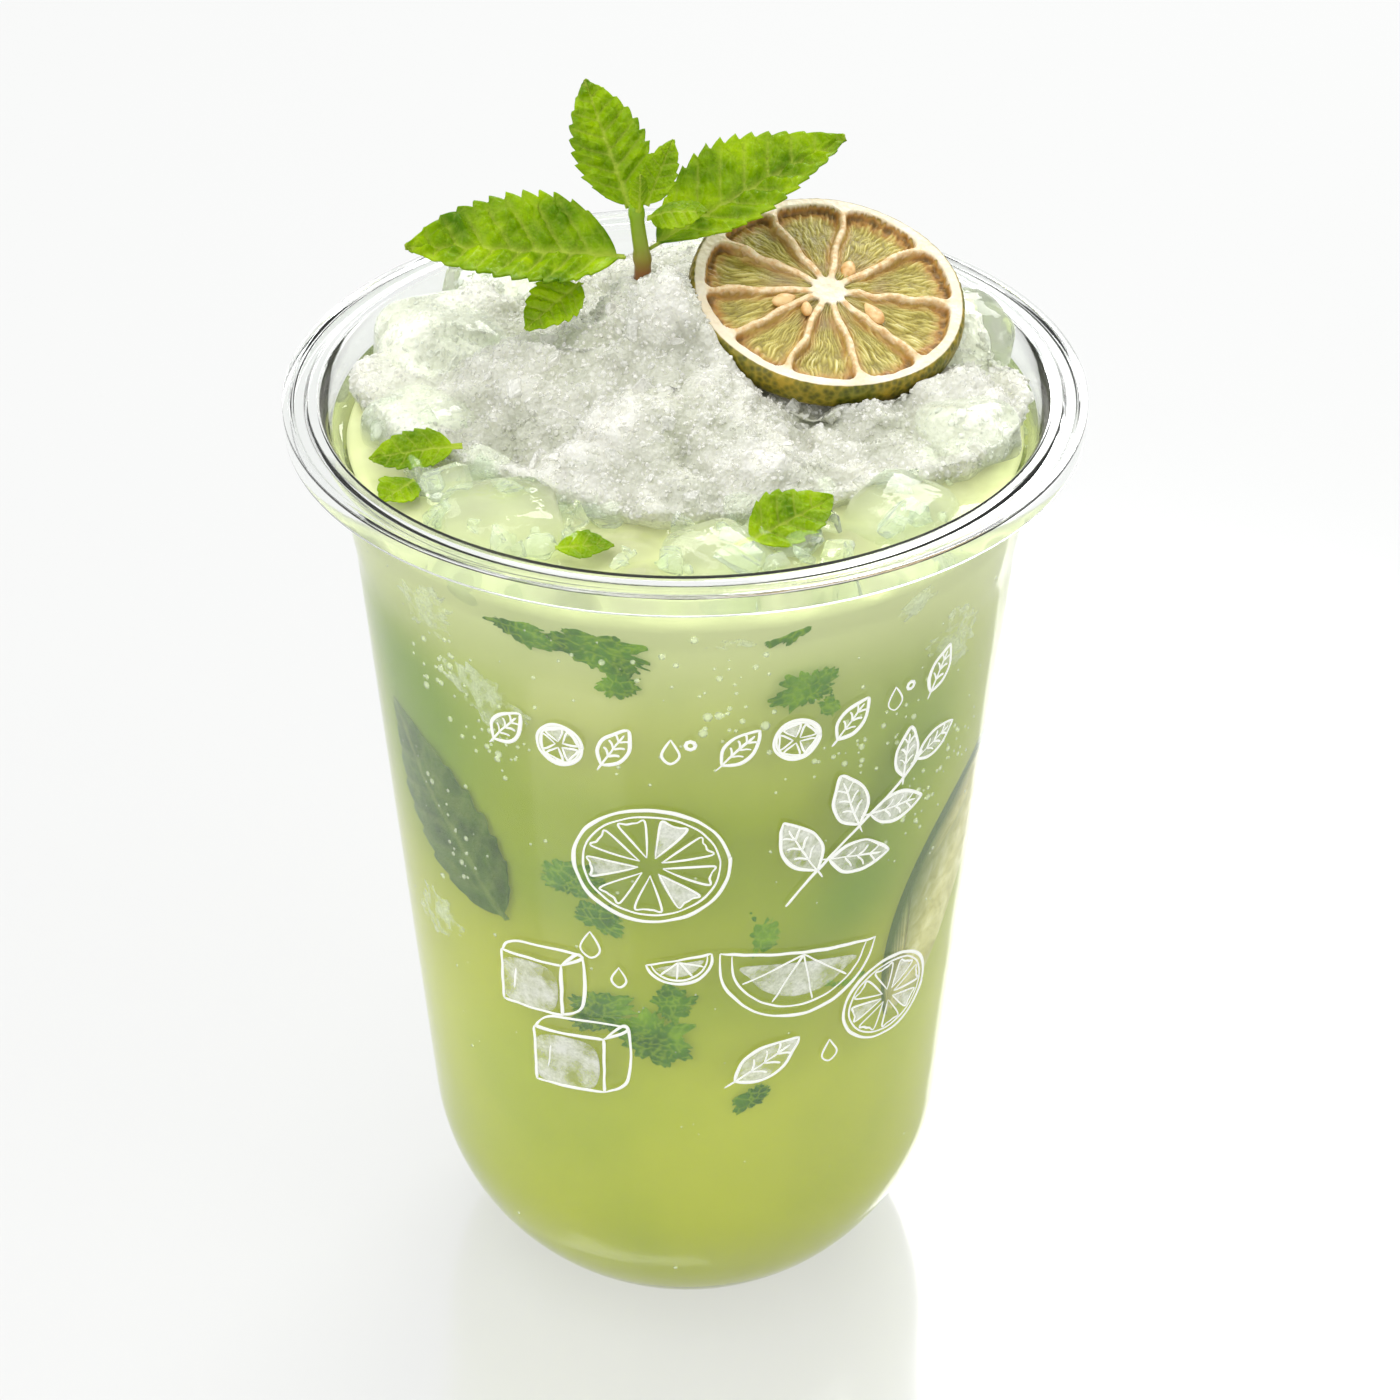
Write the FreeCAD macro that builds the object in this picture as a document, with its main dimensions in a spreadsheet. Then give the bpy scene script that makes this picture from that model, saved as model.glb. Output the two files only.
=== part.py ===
import FreeCAD, Part
import Sketcher
import math
import os

# A long drink in a clear U-shaped cup: cup, drink, crushed ice, dried lime slice,
# a sprig of mint and five loose mint leaves. Millimetres, +Z up, the cup stands on
# its foot ring and the origin is the middle of that ring.

Vector = FreeCAD.Vector

# Driving sizes. Lengths in millimetres, angles in degrees, places from the origin.
SIZES = {
    # cup: steps are taken off the mouth's radius, drops off the cup's height
    "mouth_radius": 43.5,
    "cup_height": 125.0,
    "rim_width": 4.0,
    "lip_depth": 2.8,
    "rim_rounding": 0.7,
    "wall": 0.8,
    "throat_step": 1.0,
    "throat_drop": 4.0,
    "shoulder_step": 3.5,
    "shoulder_drop": 19.0,
    "wall_taper": 4.235,
    "bottom_radius": 31.5,
    "foot_radius": 22.0,
    "foot_width": 2.4,
    "recess_slope": 2.0,
    "base_recess": 2.0,
    # drink
    "drink_drop": 4.5,
    "drink_clearance": 0.05,
    # ice heap; the drink lies open on one side, about open_bearing
    "open_bearing": -98.0,
    "open_half_angle": 68.0,
    "open_softness": 8.0,
    "ice_clearance": 0.5,
    "ice_edge": 1.2,
    "ice_bank": 1.4,
    "ice_retreat": 16.0,
    "ice_unevenness": 0.55,
    # dried lime slice; rises are heights above the drink
    "slice_radius": 16.8,
    "slice_thickness": 3.4,
    "slice_rounding": 0.6,
    "slice_segments": 10.0,
    "flesh_radius": 14.6,
    "core_radius": 2.3,
    "membrane": 0.9,
    "flesh_depth": 0.7,
    "slice_x": 17.2,
    "slice_y": 10.4,
    "slice_rise": 11.5,
    "slice_tilt": 18.1,
    "slice_lean": -63.2,
    "slice_clearance": 0.1,
    # mint stem
    "stem_x": -5.8,
    "stem_y": 12.0,
    "stem_rise": 6.5,
    "stem_height": 15.5,
    "stem_foot_radius": 1.1,
    "stem_top_radius": 0.75,
    "stem_clearance": 0.1,
    # all mint leaves
    "leaf_thickness": 0.4,
    "leaf_tooth": 0.1,
    "leaf_gap": 0.1,
    "leaf_stalk_width": 0.7,
    "leaf_base_shape": 0.78,
    "leaf_tip_shape": 0.72,
}

# Mint leaves. On the sprig, "up" is how far above the stem's foot the leaf starts.
# "heading" and "climb" turn the midrib, "roll" turns the blade about it, "fold" lifts
# both halves, "droop" bends the tip down and "stalk" is the bare share of the length.
SPRIG_LEAVES = {
    "left": dict(up=8.8, length=26.2, width=13.8, heading=-170, climb=10, roll=-28,
                 fold=26, droop=1.6, stalk=0.04, teeth=12),
    "right": dict(up=9.4, length=28.0, width=13.0, heading=25, climb=22, roll=20,
                  fold=30, droop=1.6, stalk=0.05, teeth=13),
    "top": dict(up=14.4, length=16.0, width=9.2, heading=126, climb=57, roll=-20,
                fold=16, droop=1.0, stalk=0.04, teeth=9),
    "side": dict(up=14.8, length=8.4, width=4.4, heading=40, climb=60, roll=46,
                 fold=24, droop=0.3, stalk=0.05, teeth=6),
    "curl": dict(up=14.0, length=7.8, width=4.8, heading=-28, climb=30, roll=24,
                 fold=-14, droop=2.2, stalk=0.08, teeth=5),
    "bud": dict(up=15.0, length=5.4, width=2.6, heading=-75, climb=76, roll=10,
                fold=30, droop=-0.4, stalk=0.1, teeth=3),
}

# A loose leaf on the ice. "x" and "y" place the stalk's end and "lift" raises it.
ICE_LEAVES = {
    "low": dict(x=-12.4, y=8.2, lift=5.15, length=9.6, width=6.4, heading=-133,
                climb=-14, roll=-20, fold=12, droop=0.6, stalk=0.06, teeth=6),
}

# Loose leaves on the drink. The stalk's end lies at "bearing", "inset" from the wall.
FLOATING_LEAVES = {
    "float_left": dict(bearing=-156.5, inset=13.5, lift=2.3, length=10.8, width=5.6,
                       heading=-168, climb=2, roll=-26, fold=10, droop=1.2, stalk=0.12,
                       teeth=7),
    "float_edge": dict(bearing=-152.1, inset=6.55, lift=0.85, length=5.6, width=5.2,
                       heading=-130, climb=-3, roll=-6, fold=7, droop=0.2, stalk=0.05,
                       teeth=5),
    "float_right": dict(bearing=-79.8, inset=9.9, lift=0.5, length=13.6, width=7.6,
                        heading=32, climb=13, roll=20, fold=12, droop=0.9, stalk=0.17,
                        teeth=6),
    "float_front": dict(bearing=-114.9, inset=7.45, lift=0.5, length=6.6, width=4.6,
                        heading=4, climb=3, roll=6, fold=8, droop=0.2, stalk=0.05,
                        teeth=4),
}

# Rounded clumps that make the heap: place, height above the drink and spread.
ICE_CLUMPS = {
    "peak": dict(x=-2.0, y=5.0, rise=14.0, spread=10.5),
    "front": dict(x=-1.0, y=-9.0, rise=8.6, spread=12.5),
    "left": dict(x=-15.0, y=2.0, rise=8.0, spread=10.0),
    "back_left": dict(x=-26.0, y=21.0, rise=5.2, spread=9.0),
    "back": dict(x=2.0, y=24.0, rise=6.4, spread=12.0),
    "right": dict(x=20.0, y=4.0, rise=6.0, spread=12.0),
    "right_chunk": dict(x=32.5, y=-3.0, rise=4.4, spread=7.5),
    "back_right": dict(x=30.0, y=19.0, rise=5.6, spread=10.0),
}

doc = FreeCAD.newDocument("Mojito")
sheet = doc.addObject("Spreadsheet::Sheet", "Sizes")


def fillSheet():
    """Write every driving size into the sheet, one row and one alias for each."""
    rows = dict(SIZES)
    for family in (SPRIG_LEAVES, ICE_LEAVES, FLOATING_LEAVES, ICE_CLUMPS):
        for name, values in family.items():
            for word, value in values.items():
                rows[name + "_" + word] = float(value)
    for row, (name, value) in enumerate(rows.items(), start=1):
        sheet.set("A%d" % row, name.replace("_", " "))
        sheet.set("B%d" % row, str(value))
        sheet.setAlias("B%d" % row, name)
    doc.recompute()


def size(name):
    """One driving size, read back from the sheet."""
    return float(sheet.get(name))


def group(name, words):
    """The sizes of one leaf or one clump, read back from the sheet."""
    return {word: size(name + "_" + word) for word in words}


SHOULDER_RADIUS = ("mouth_radius", "-shoulder_step")
SHOULDER_HEIGHT = ("cup_height", "-shoulder_drop")
THROAT_RADIUS = ("mouth_radius", "-throat_step")
THROAT_HEIGHT = ("cup_height", "-throat_drop")
DRINK_LEVEL = ("cup_height", "-drink_drop")


def total(*names):
    """A sum of named sizes as (value, expression); a leading minus takes one away."""
    value = 0.0
    text = ""
    for name in names:
        sign = "-" if name.startswith("-") else "+"
        word = name.lstrip("-")
        value += size(word) * (-1 if sign == "-" else 1)
        text += " %s Sizes.%s" % (sign, word)
    return value, text.lstrip(" +") or "0"


# ---- sketches ---------------------------------------------------------------------

def plane(body, role):
    """One of the body's own origin planes or axes."""
    return next(item for item in body.Origin.OriginFeatures if item.Role == role)


def newSketch(body, name, role):
    sketch = body.newObject("Sketcher::SketchObject", name)
    sketch.AttachmentSupport = [(plane(body, role), "")]
    sketch.MapMode = "FlatFace"
    return sketch


def bind(sketch, constraint, expression=None):
    """Add a constraint and tie its value to the sheet."""
    number = sketch.addConstraint(constraint)
    if expression is not None:
        sketch.setExpression("Constraints[%d]" % number, expression)


def bindPoint(sketch, edge, end, across, up):
    """Hold a point at (across, up), each of them a (value, expression) pair."""
    for axis, kind, (value, text) in ((-2, "DistanceX", across), (-1, "DistanceY", up)):
        if text == "0":
            bind(sketch, Sketcher.Constraint("PointOnObject", edge, end, axis))
        else:
            bind(sketch, Sketcher.Constraint(kind, -1, 1, edge, end, value), text)


def addLine(sketch, start, end):
    return sketch.addGeometry(Part.LineSegment(Vector(*start, 0), Vector(*end, 0)), False)


def join(sketch, edge, end, other, otherEnd):
    sketch.addConstraint(Sketcher.Constraint("Coincident", edge, end, other, otherEnd))


def bottomArc(offset):
    """Centre, radius and end points of the cup's bottom arc, moved inwards by offset.

    The arc passes through the foot ring's outer edge and runs tangent into the wall.
    """
    radius = size("bottom_radius")
    slope = math.tan(math.radians(size("wall_taper")))
    across = total(*SHOULDER_RADIUS)[0] - slope * total(*SHOULDER_HEIGHT)[0]
    shift = across - radius * math.hypot(1, slope)
    a = 1 + slope ** 2
    b = 2 * slope * (shift - size("foot_radius"))
    c = (shift - size("foot_radius")) ** 2 - radius ** 2
    up = (-b + math.sqrt(b * b - 4 * a * c)) / (2 * a)
    centre = (shift + slope * up, up)
    inner = radius - offset
    angle = -math.radians(size("wall_taper"))
    top = (centre[0] + inner * math.cos(angle), centre[1] + inner * math.sin(angle))
    low = (centre[0] + math.sqrt(inner ** 2 - (centre[1] - offset) ** 2), offset)
    return centre, inner, top, low


def addShell(sketch, offsets):
    """The bottom arc and the wall above it, moved inwards by the named offsets.

    Returns the numbers of the foot line, the arc, the wall and the flare above the
    shoulder, and where the flare ends.
    """
    inset = sum(size(name) for name in offsets)
    minus = ["-" + name for name in offsets]
    centre, radius, top, low = bottomArc(inset)
    shoulder = (total(*SHOULDER_RADIUS, *minus), total(*SHOULDER_HEIGHT))
    throat = (total(*THROAT_RADIUS, *minus), total(*THROAT_HEIGHT))
    toe = (total("foot_radius", "-foot_width", *offsets), total(*offsets))
    start = math.atan2(low[1] - centre[1], low[0] - centre[0])
    end = math.atan2(top[1] - centre[1], top[0] - centre[0])

    foot = addLine(sketch, (toe[0][0], toe[1][0]), low)
    circle = Part.Circle(Vector(*centre, 0), Vector(0, 0, 1), radius)
    arc = sketch.addGeometry(Part.ArcOfCircle(circle, start, end), False)
    wall = addLine(sketch, top, (shoulder[0][0], shoulder[1][0]))
    flare = addLine(sketch, (shoulder[0][0], shoulder[1][0]), (throat[0][0], throat[1][0]))

    join(sketch, foot, 2, arc, 1)
    join(sketch, wall, 2, flare, 1)
    sketch.addConstraint(Sketcher.Constraint("Tangent", arc, 2, wall, 1))
    bindPoint(sketch, foot, 1, *toe)
    bind(sketch, Sketcher.Constraint("Horizontal", foot))
    bindPoint(sketch, flare, 1, *shoulder)
    return foot, arc, wall, flare, throat


def addOuterShell(sketch):
    """The cup's outer surface, held by its radii, its taper and the foot ring's edge."""
    foot, arc, wall, flare, throat = addShell(sketch, [])
    bind(sketch, Sketcher.Constraint("Radius", arc, size("bottom_radius")),
         "Sizes.bottom_radius")
    bind(sketch, Sketcher.Constraint("DistanceX", -1, 1, arc, 1, size("foot_radius")),
         "Sizes.foot_radius")
    bind(sketch, Sketcher.Constraint("Angle", -1, 1, wall, 1,
                                     math.radians(90 - size("wall_taper"))),
         "90 - Sizes.wall_taper")
    bindPoint(sketch, flare, 2, *throat)
    return foot, arc, wall, flare, throat


def addInnerShell(sketch, offsets, outerArc):
    """A surface inside the outer one, whose bottom arc shares the outer arc's centre."""
    foot, arc, wall, flare, throat = addShell(sketch, offsets)
    radius, text = total("bottom_radius", *["-" + name for name in offsets])
    join(sketch, arc, 3, outerArc, 3)
    bind(sketch, Sketcher.Constraint("Radius", arc, radius), text)
    return foot, flare, throat


def revolve(body, sketch, name):
    feature = body.newObject("PartDesign::Revolution", name)
    feature.Profile = sketch
    feature.ReferenceAxis = (sketch, ["V_Axis"])
    feature.Angle = 360
    return feature


# ---- cup and drink ----------------------------------------------------------------

def makeCup():
    """The cup's wall as one closed profile turned about the axis."""
    body = doc.addObject("PartDesign::Body", "Cup")
    body.Label = "cup"
    sketch = newSketch(body, "WallProfile", "XZ_Plane")

    foot, arc, _, flare, throat = addOuterShell(sketch)
    inFoot, inFlare, inThroat = addInnerShell(sketch, ["wall"], arc)
    bindPoint(sketch, inFlare, 2, *inThroat)

    # the rolled rim, from the outer throat round to the inner one
    rim = [
        throat,
        (total("mouth_radius"), total("cup_height", "-wall")),
        (total("mouth_radius", "rim_width", "-wall"), total("cup_height", "-wall")),
        (total("mouth_radius", "rim_width", "-wall"), total("cup_height", "-lip_depth")),
        (total("mouth_radius", "rim_width"), total("cup_height", "-lip_depth")),
        (total("mouth_radius", "rim_width"), total("cup_height")),
        (total("mouth_radius"), total("cup_height")),
        inThroat,
    ]
    addChain(sketch, rim, flare, inFlare)

    # the raised middle of the base, from the inner foot line to the outer one
    base = [
        (total("foot_radius", "-foot_width", "wall"), total("wall")),
        (total("foot_radius", "-foot_width", "-recess_slope", "wall"),
         total("base_recess", "wall")),
        (total(), total("base_recess", "wall")),
        (total(), total("base_recess")),
        (total("foot_radius", "-foot_width", "-recess_slope"), total("base_recess")),
        (total("foot_radius", "-foot_width"), total()),
    ]
    addChain(sketch, base, inFoot, foot, lastEnd=1, firstEnd=1)

    turned = revolve(body, sketch, "Wall")
    doc.recompute()
    rounded = body.newObject("PartDesign::Fillet", "RimRounding")
    rounded.Base = (turned, rimEdges(turned.Shape))
    rounded.setExpression("Radius", "Sizes.rim_rounding")
    return body


def addChain(sketch, corners, first, last, firstEnd=2, lastEnd=2):
    """Straight lines through corners, joined to two edges that are there already."""
    lines = []
    for (x0, z0), (x1, z1) in zip(corners, corners[1:]):
        lines.append(addLine(sketch, (x0[0], z0[0]), (x1[0], z1[0])))
    join(sketch, first, firstEnd, lines[0], 1)
    for before, after in zip(lines, lines[1:]):
        join(sketch, before, 2, after, 1)
    join(sketch, lines[-1], 2, last, lastEnd)
    for line, corner in zip(lines[1:], corners[1:-1]):
        bindPoint(sketch, line, 1, *corner)


def rimEdges(shape):
    """The two upper corners of the rim, outside and inside."""
    names = []
    for number, edge in enumerate(shape.Edges, start=1):
        circle = edge.Curve
        if not isinstance(circle, Part.Circle):
            continue
        if abs(circle.Center.z - size("cup_height")) < 0.01:
            names.append("Edge%d" % number)
    return names


def makeDrink():
    """The drink, from the cup's floor up to its level, a hair clear of the wall."""
    body = doc.addObject("PartDesign::Body", "Drink")
    body.Label = "drink"
    sketch = newSketch(body, "DrinkProfile", "XZ_Plane")
    offsets = ["wall", "drink_clearance"]

    outer = addOuterShell(sketch)
    foot, flare, throat = addInnerShell(sketch, offsets, outer[1])
    for edge in outer[:4]:
        sketch.toggleConstruction(edge)

    # the flare stops at the drink's level, on the line from shoulder to throat
    guide = sketch.addGeometry(sketch.Geometry[flare], True)
    join(sketch, guide, 1, flare, 1)
    bindPoint(sketch, guide, 2, *throat)
    sketch.addConstraint(Sketcher.Constraint("PointOnObject", flare, 2, guide))
    level = total(*DRINK_LEVEL)
    bind(sketch, Sketcher.Constraint("DistanceY", -1, 1, flare, 2, level[0]), level[1])

    edge = throatRadiusAt(level[0]) - size("drink_clearance")
    top = addLine(sketch, (edge, level[0]), (0, level[0]))
    join(sketch, flare, 2, top, 1)
    sketch.addConstraint(Sketcher.Constraint("Horizontal", top))
    sketch.addConstraint(Sketcher.Constraint("PointOnObject", top, 2, -2))

    base = [
        ((0, ""), level),
        (total(), total("base_recess", *offsets)),
        (total("foot_radius", "-foot_width", "-recess_slope", *offsets),
         total("base_recess", *offsets)),
        (total("foot_radius", "-foot_width", *offsets), total(*offsets)),
    ]
    addChain(sketch, base, top, foot, lastEnd=1)
    revolve(body, sketch, "Fill")
    return body


# ---- dried lime slice ---------------------------------------------------------------

def makeSlice():
    """A round slice with a sunken field of flesh between each two membranes."""
    body = doc.addObject("PartDesign::Body", "LimeSlice")
    body.Label = "lime_slice"
    disc = newSketch(body, "Rind", "XY_Plane")
    round_ = disc.addGeometry(Part.Circle(Vector(), Vector(0, 0, 1), size("slice_radius")))
    disc.addConstraint(Sketcher.Constraint("Coincident", round_, 3, -1, 1))
    bind(disc, Sketcher.Constraint("Radius", round_, size("slice_radius")),
         "Sizes.slice_radius")
    pad = body.newObject("PartDesign::Pad", "Thickness")
    pad.Profile = disc
    pad.Reversed = True
    pad.setExpression("Length", "Sizes.slice_thickness")
    doc.recompute()
    rounded = body.newObject("PartDesign::Fillet", "RindRounding")
    rounded.Base = (pad, ["Edge%d" % (n + 1) for n, edge in enumerate(pad.Shape.Edges)
                          if isinstance(edge.Curve, Part.Circle)])
    rounded.setExpression("Radius", "Sizes.slice_rounding")

    half = math.pi / size("slice_segments")
    halfMembrane = size("membrane") / 2
    field = newSketch(body, "Segment", "XY_Plane")

    def edgePoint(radius, side):
        """Where a circle meets the segment's side, half a membrane in from the ray."""
        along = math.sqrt(radius ** 2 - halfMembrane ** 2)
        return (along * math.cos(half) + halfMembrane * math.sin(half),
                side * (along * math.sin(half) - halfMembrane * math.cos(half)))

    reach, core = size("flesh_radius"), size("core_radius")
    turn = math.atan2(edgePoint(reach, 1)[1], edgePoint(reach, 1)[0])
    lower = addLine(field, edgePoint(core, -1), edgePoint(reach, -1))
    circle = Part.Circle(Vector(), Vector(0, 0, 1), reach)
    outer = field.addGeometry(Part.ArcOfCircle(circle, -turn, turn), False)
    upper = addLine(field, edgePoint(reach, 1), edgePoint(core, 1))
    inner = addLine(field, edgePoint(core, 1), edgePoint(core, -1))
    join(field, lower, 2, outer, 1)
    join(field, outer, 2, upper, 1)
    join(field, upper, 2, inner, 1)
    join(field, inner, 2, lower, 1)
    join(field, outer, 3, -1, 1)
    bind(field, Sketcher.Constraint("Radius", outer, reach), "Sizes.flesh_radius")
    field.addConstraint(Sketcher.Constraint("Symmetric", inner, 1, inner, 2, -1))
    field.addConstraint(Sketcher.Constraint("Symmetric", outer, 1, outer, 2, -1))
    bind(field, Sketcher.Constraint("Angle", -1, 1, lower, 1, -half),
         "-180 / Sizes.slice_segments")
    bind(field, Sketcher.Constraint("Distance", -1, 1, lower, halfMembrane),
         "Sizes.membrane / 2")
    bind(field, Sketcher.Constraint("DistanceX", -1, 1, inner, 1, edgePoint(core, 1)[0]),
         "Sizes.core_radius * cos(180 / Sizes.slice_segments)")
    doc.recompute()

    before = body.Shape.Volume
    pocket = body.newObject("PartDesign::Pocket", "Flesh")
    pocket.Profile = field
    pocket.setExpression("Length", "Sizes.flesh_depth")
    doc.recompute()
    fields = body.newObject("PartDesign::PolarPattern", "AllFlesh")
    fields.Originals = [pocket]
    fields.Axis = (field, ["N_Axis"])
    fields.Angle = 360
    fields.setExpression("Occurrences", "Sizes.slice_segments")
    body.Tip = fields
    doc.recompute()
    if body.Shape.Volume > before - 1:
        raise RuntimeError("the slice's flesh fields cut nothing")
    placeOnSlice(body)
    return body


def placeOnSlice(item, lift="0"):
    """Tie a placement to the slice: its face's middle, its lean and its tilt."""
    lean = math.radians(size("slice_lean"))
    axis = Vector(-math.sin(lean), math.cos(lean), 0)
    turn = FreeCAD.Rotation(axis, size("slice_tilt"))
    item.Placement = FreeCAD.Placement(Vector(), turn)
    item.setExpression("Placement.Base.x", "Sizes.slice_x + (%s) * sin(Sizes.slice_tilt)"
                       " * cos(Sizes.slice_lean)" % lift)
    item.setExpression("Placement.Base.y", "Sizes.slice_y + (%s) * sin(Sizes.slice_tilt)"
                       " * sin(Sizes.slice_lean)" % lift)
    item.setExpression("Placement.Base.z", "%s + Sizes.slice_rise + (%s)"
                       " * cos(Sizes.slice_tilt)" % (total(*DRINK_LEVEL)[1], lift))


# ---- faceted solids -----------------------------------------------------------------

def solidFromGrid(top, low):
    """A closed solid between two equal grids of points, given row by row."""
    rows, columns = len(top), len(top[0])
    points = [point for row in top for point in row] + [point for row in low for point in row]
    under = rows * columns
    faces = []

    def quad(a, b, c, d):
        faces.extend([(a, b, c), (a, c, d)])

    for i in range(rows - 1):
        for j in range(columns - 1):
            a = i * columns + j
            b = a + columns
            quad(a, b, b + 1, a + 1)
            quad(under + a, under + a + 1, under + b + 1, under + b)
    border = [(i, 0) for i in range(rows)] + [(rows - 1, j) for j in range(1, columns)]
    border += [(i, columns - 1) for i in range(rows - 2, -1, -1)]
    border += [(0, j) for j in range(columns - 2, 0, -1)]
    for (i, j), (k, l) in zip(border, border[1:] + border[:1]):
        a, b = i * columns + j, k * columns + l
        quad(a, under + a, under + b, b)
    return closedSolid(points, faces)


def closedSolid(points, faces):
    shape = Part.Shape()
    shape.makeShapeFromMesh((points, faces), 0.001)
    solid = Part.makeSolid(shape)
    if solid.Volume < 0:
        solid.reverse()
    return solid


def addFeature(name, label, shape):
    feature = doc.addObject("Part::Feature", name)
    feature.Label = label
    feature.Shape = shape
    return feature


# ---- ice ----------------------------------------------------------------------------

def throatRadiusAt(height):
    """The cup's inner radius between its shoulder and its throat."""
    low, high = total(*SHOULDER_HEIGHT)[0], total(*THROAT_HEIGHT)[0]
    narrow, wide = total(*SHOULDER_RADIUS)[0], total(*THROAT_RADIUS)[0]
    return narrow + (wide - narrow) * (height - low) / (high - low) - size("wall")


def openShare(angle):
    """How far the drink's surface lies open: 1 at the front and left, 0 at the back."""
    away = abs((math.degrees(angle) - size("open_bearing") + 180) % 360 - 180)
    return 1 / (1 + math.exp((away - size("open_half_angle")) / size("open_softness")))


def iceOutline(angle):
    """The heap's radius about the cup's axis, drawn back where the drink lies open."""
    wall = throatRadiusAt(total(*DRINK_LEVEL)[0]) - size("ice_clearance")
    ripple = 0.5 * math.sin(7 * angle + 1) + 0.35 * math.sin(13 * angle)
    return wall - size("ice_retreat") * openShare(angle) - size("ice_unevenness") * (1 - ripple)


def iceRise(x, y):
    """Height of the heap above the drink: clumps that run into each other."""
    clumps = [group(name, values) for name, values in ICE_CLUMPS.items()]
    angle = math.atan2(y, x)
    share = min(math.hypot(x, y) / iceOutline(angle), 1)
    sharpness = 3
    mass = sum((clump["rise"] * math.exp(-((x - clump["x"]) ** 2 + (y - clump["y"]) ** 2)
                                         / clump["spread"] ** 2)) ** sharpness
               for clump in clumps)
    edge = size("ice_edge") + size("ice_bank") * (1 - openShare(angle))
    bumps = math.sin(0.9 * x + 0.4 * y) * math.sin(0.8 * y - 0.5 * x + 2)
    bumps += 0.6 * math.sin(1.7 * x + 1) * math.sin(1.5 * y)
    return edge + (mass ** (1 / sharpness) + size("ice_unevenness") * bumps) * (1 - share ** 6)


def makeIce():
    """The heap of crushed ice on the drink, cut away for the slice and the stem."""
    rings, spokes = 19, 54
    level = total(*DRINK_LEVEL)[0]
    points = [Vector(0, 0, level + iceRise(0, 0)), Vector(0, 0, level)]
    for ring in range(1, rings + 1):
        for spoke in range(spokes):
            angle = 2 * math.pi * (spoke + 0.5 * (ring % 2)) / spokes
            radius = iceOutline(angle) * ring / rings
            x, y = radius * math.cos(angle), radius * math.sin(angle)
            points.append(Vector(x, y, level + iceRise(x, y)))
    rim = len(points)
    points += [Vector(p.x, p.y, level) for p in points[-spokes:]]

    def at(ring, spoke):
        return 2 + (ring - 1) * spokes + spoke % spokes

    faces = []
    for spoke in range(spokes):
        faces.append((0, at(1, spoke), at(1, spoke + 1)))
        for ring in range(1, rings):
            step = ring % 2
            a, b = at(ring, spoke), at(ring, spoke + 1)
            c, d = at(ring + 1, spoke), at(ring + 1, spoke + 1)
            if step:
                faces.extend([(a, d, b), (a, c, d)])
            else:
                faces.extend([(a, c, b), (b, c, d)])
        a, b = at(rings, spoke), at(rings, spoke + 1)
        c, d = rim + spoke, rim + (spoke + 1) % spokes
        faces.extend([(a, c, d), (a, d, b), (1, d, c)])
    mound = addFeature("IceMound", "ice mound", closedSolid(points, faces))

    seat = doc.addObject("Part::Cylinder", "SliceSeat")
    seat.setExpression("Radius", "Sizes.slice_radius + Sizes.slice_clearance")
    seat.setExpression("Height", "Sizes.slice_radius + Sizes.slice_thickness")
    placeOnSlice(seat, "-Sizes.slice_thickness - Sizes.slice_clearance")

    hole = doc.addObject("Part::Cylinder", "StemHole")
    hole.setExpression("Radius", "Sizes.stem_foot_radius * sqrt(2) + Sizes.stem_clearance")
    hole.setExpression("Height", "Sizes.stem_height + Sizes.stem_clearance")
    placeAt(hole, "Sizes.stem_x", "Sizes.stem_y",
            total(*DRINK_LEVEL, "stem_rise", "-stem_clearance")[1])

    seated = doc.addObject("Part::Cut", "SeatedIce")
    seated.Base, seated.Tool = mound, seat
    heap = doc.addObject("Part::Cut", "IceHeap")
    heap.Base, heap.Tool = seated, hole
    heap.Label = "ice_heap"
    return heap


def placeAt(item, x, y, z):
    for axis, text in zip("xyz", (x, y, z)):
        item.setExpression("Placement.Base." + axis, text)


# ---- mint ---------------------------------------------------------------------------

def makeStem():
    """A square, tapered mint stem that stands in the ice."""
    body = doc.addObject("PartDesign::Body", "MintStem")
    body.Label = "mint_stem"
    ends = []
    for name, radius in (("Foot", "stem_foot_radius"), ("Top", "stem_top_radius")):
        sketch = newSketch(body, name + "Square", "XY_Plane")
        if name == "Top":
            sketch.setExpression("AttachmentOffset.Base.z", "Sizes.stem_height")
        reach = size(radius)
        corners = [(reach, reach), (-reach, reach), (-reach, -reach), (reach, -reach)]
        sides = [addLine(sketch, a, b) for a, b in zip(corners, corners[1:] + corners[:1])]
        for side, other in zip(sides, sides[1:] + sides[:1]):
            join(sketch, side, 2, other, 1)
        for number, side in enumerate(sides):
            sketch.addConstraint(Sketcher.Constraint("Vertical" if number % 2 else "Horizontal",
                                                     side))
        sketch.addConstraint(Sketcher.Constraint("Symmetric", sides[0], 1, sides[2], 1, -1, 1))
        for kind in ("DistanceX", "DistanceY"):
            bind(sketch, Sketcher.Constraint(kind, -1, 1, sides[0], 1, reach),
                 "Sizes." + radius)
        ends.append(sketch)
    loft = body.newObject("PartDesign::AdditiveLoft", "Taper")
    loft.Profile = ends[0]
    loft.Sections = [ends[1]]
    loft.Ruled = True
    placeAt(body, "Sizes.stem_x", "Sizes.stem_y", total(*DRINK_LEVEL, "stem_rise")[1])
    return body


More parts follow.
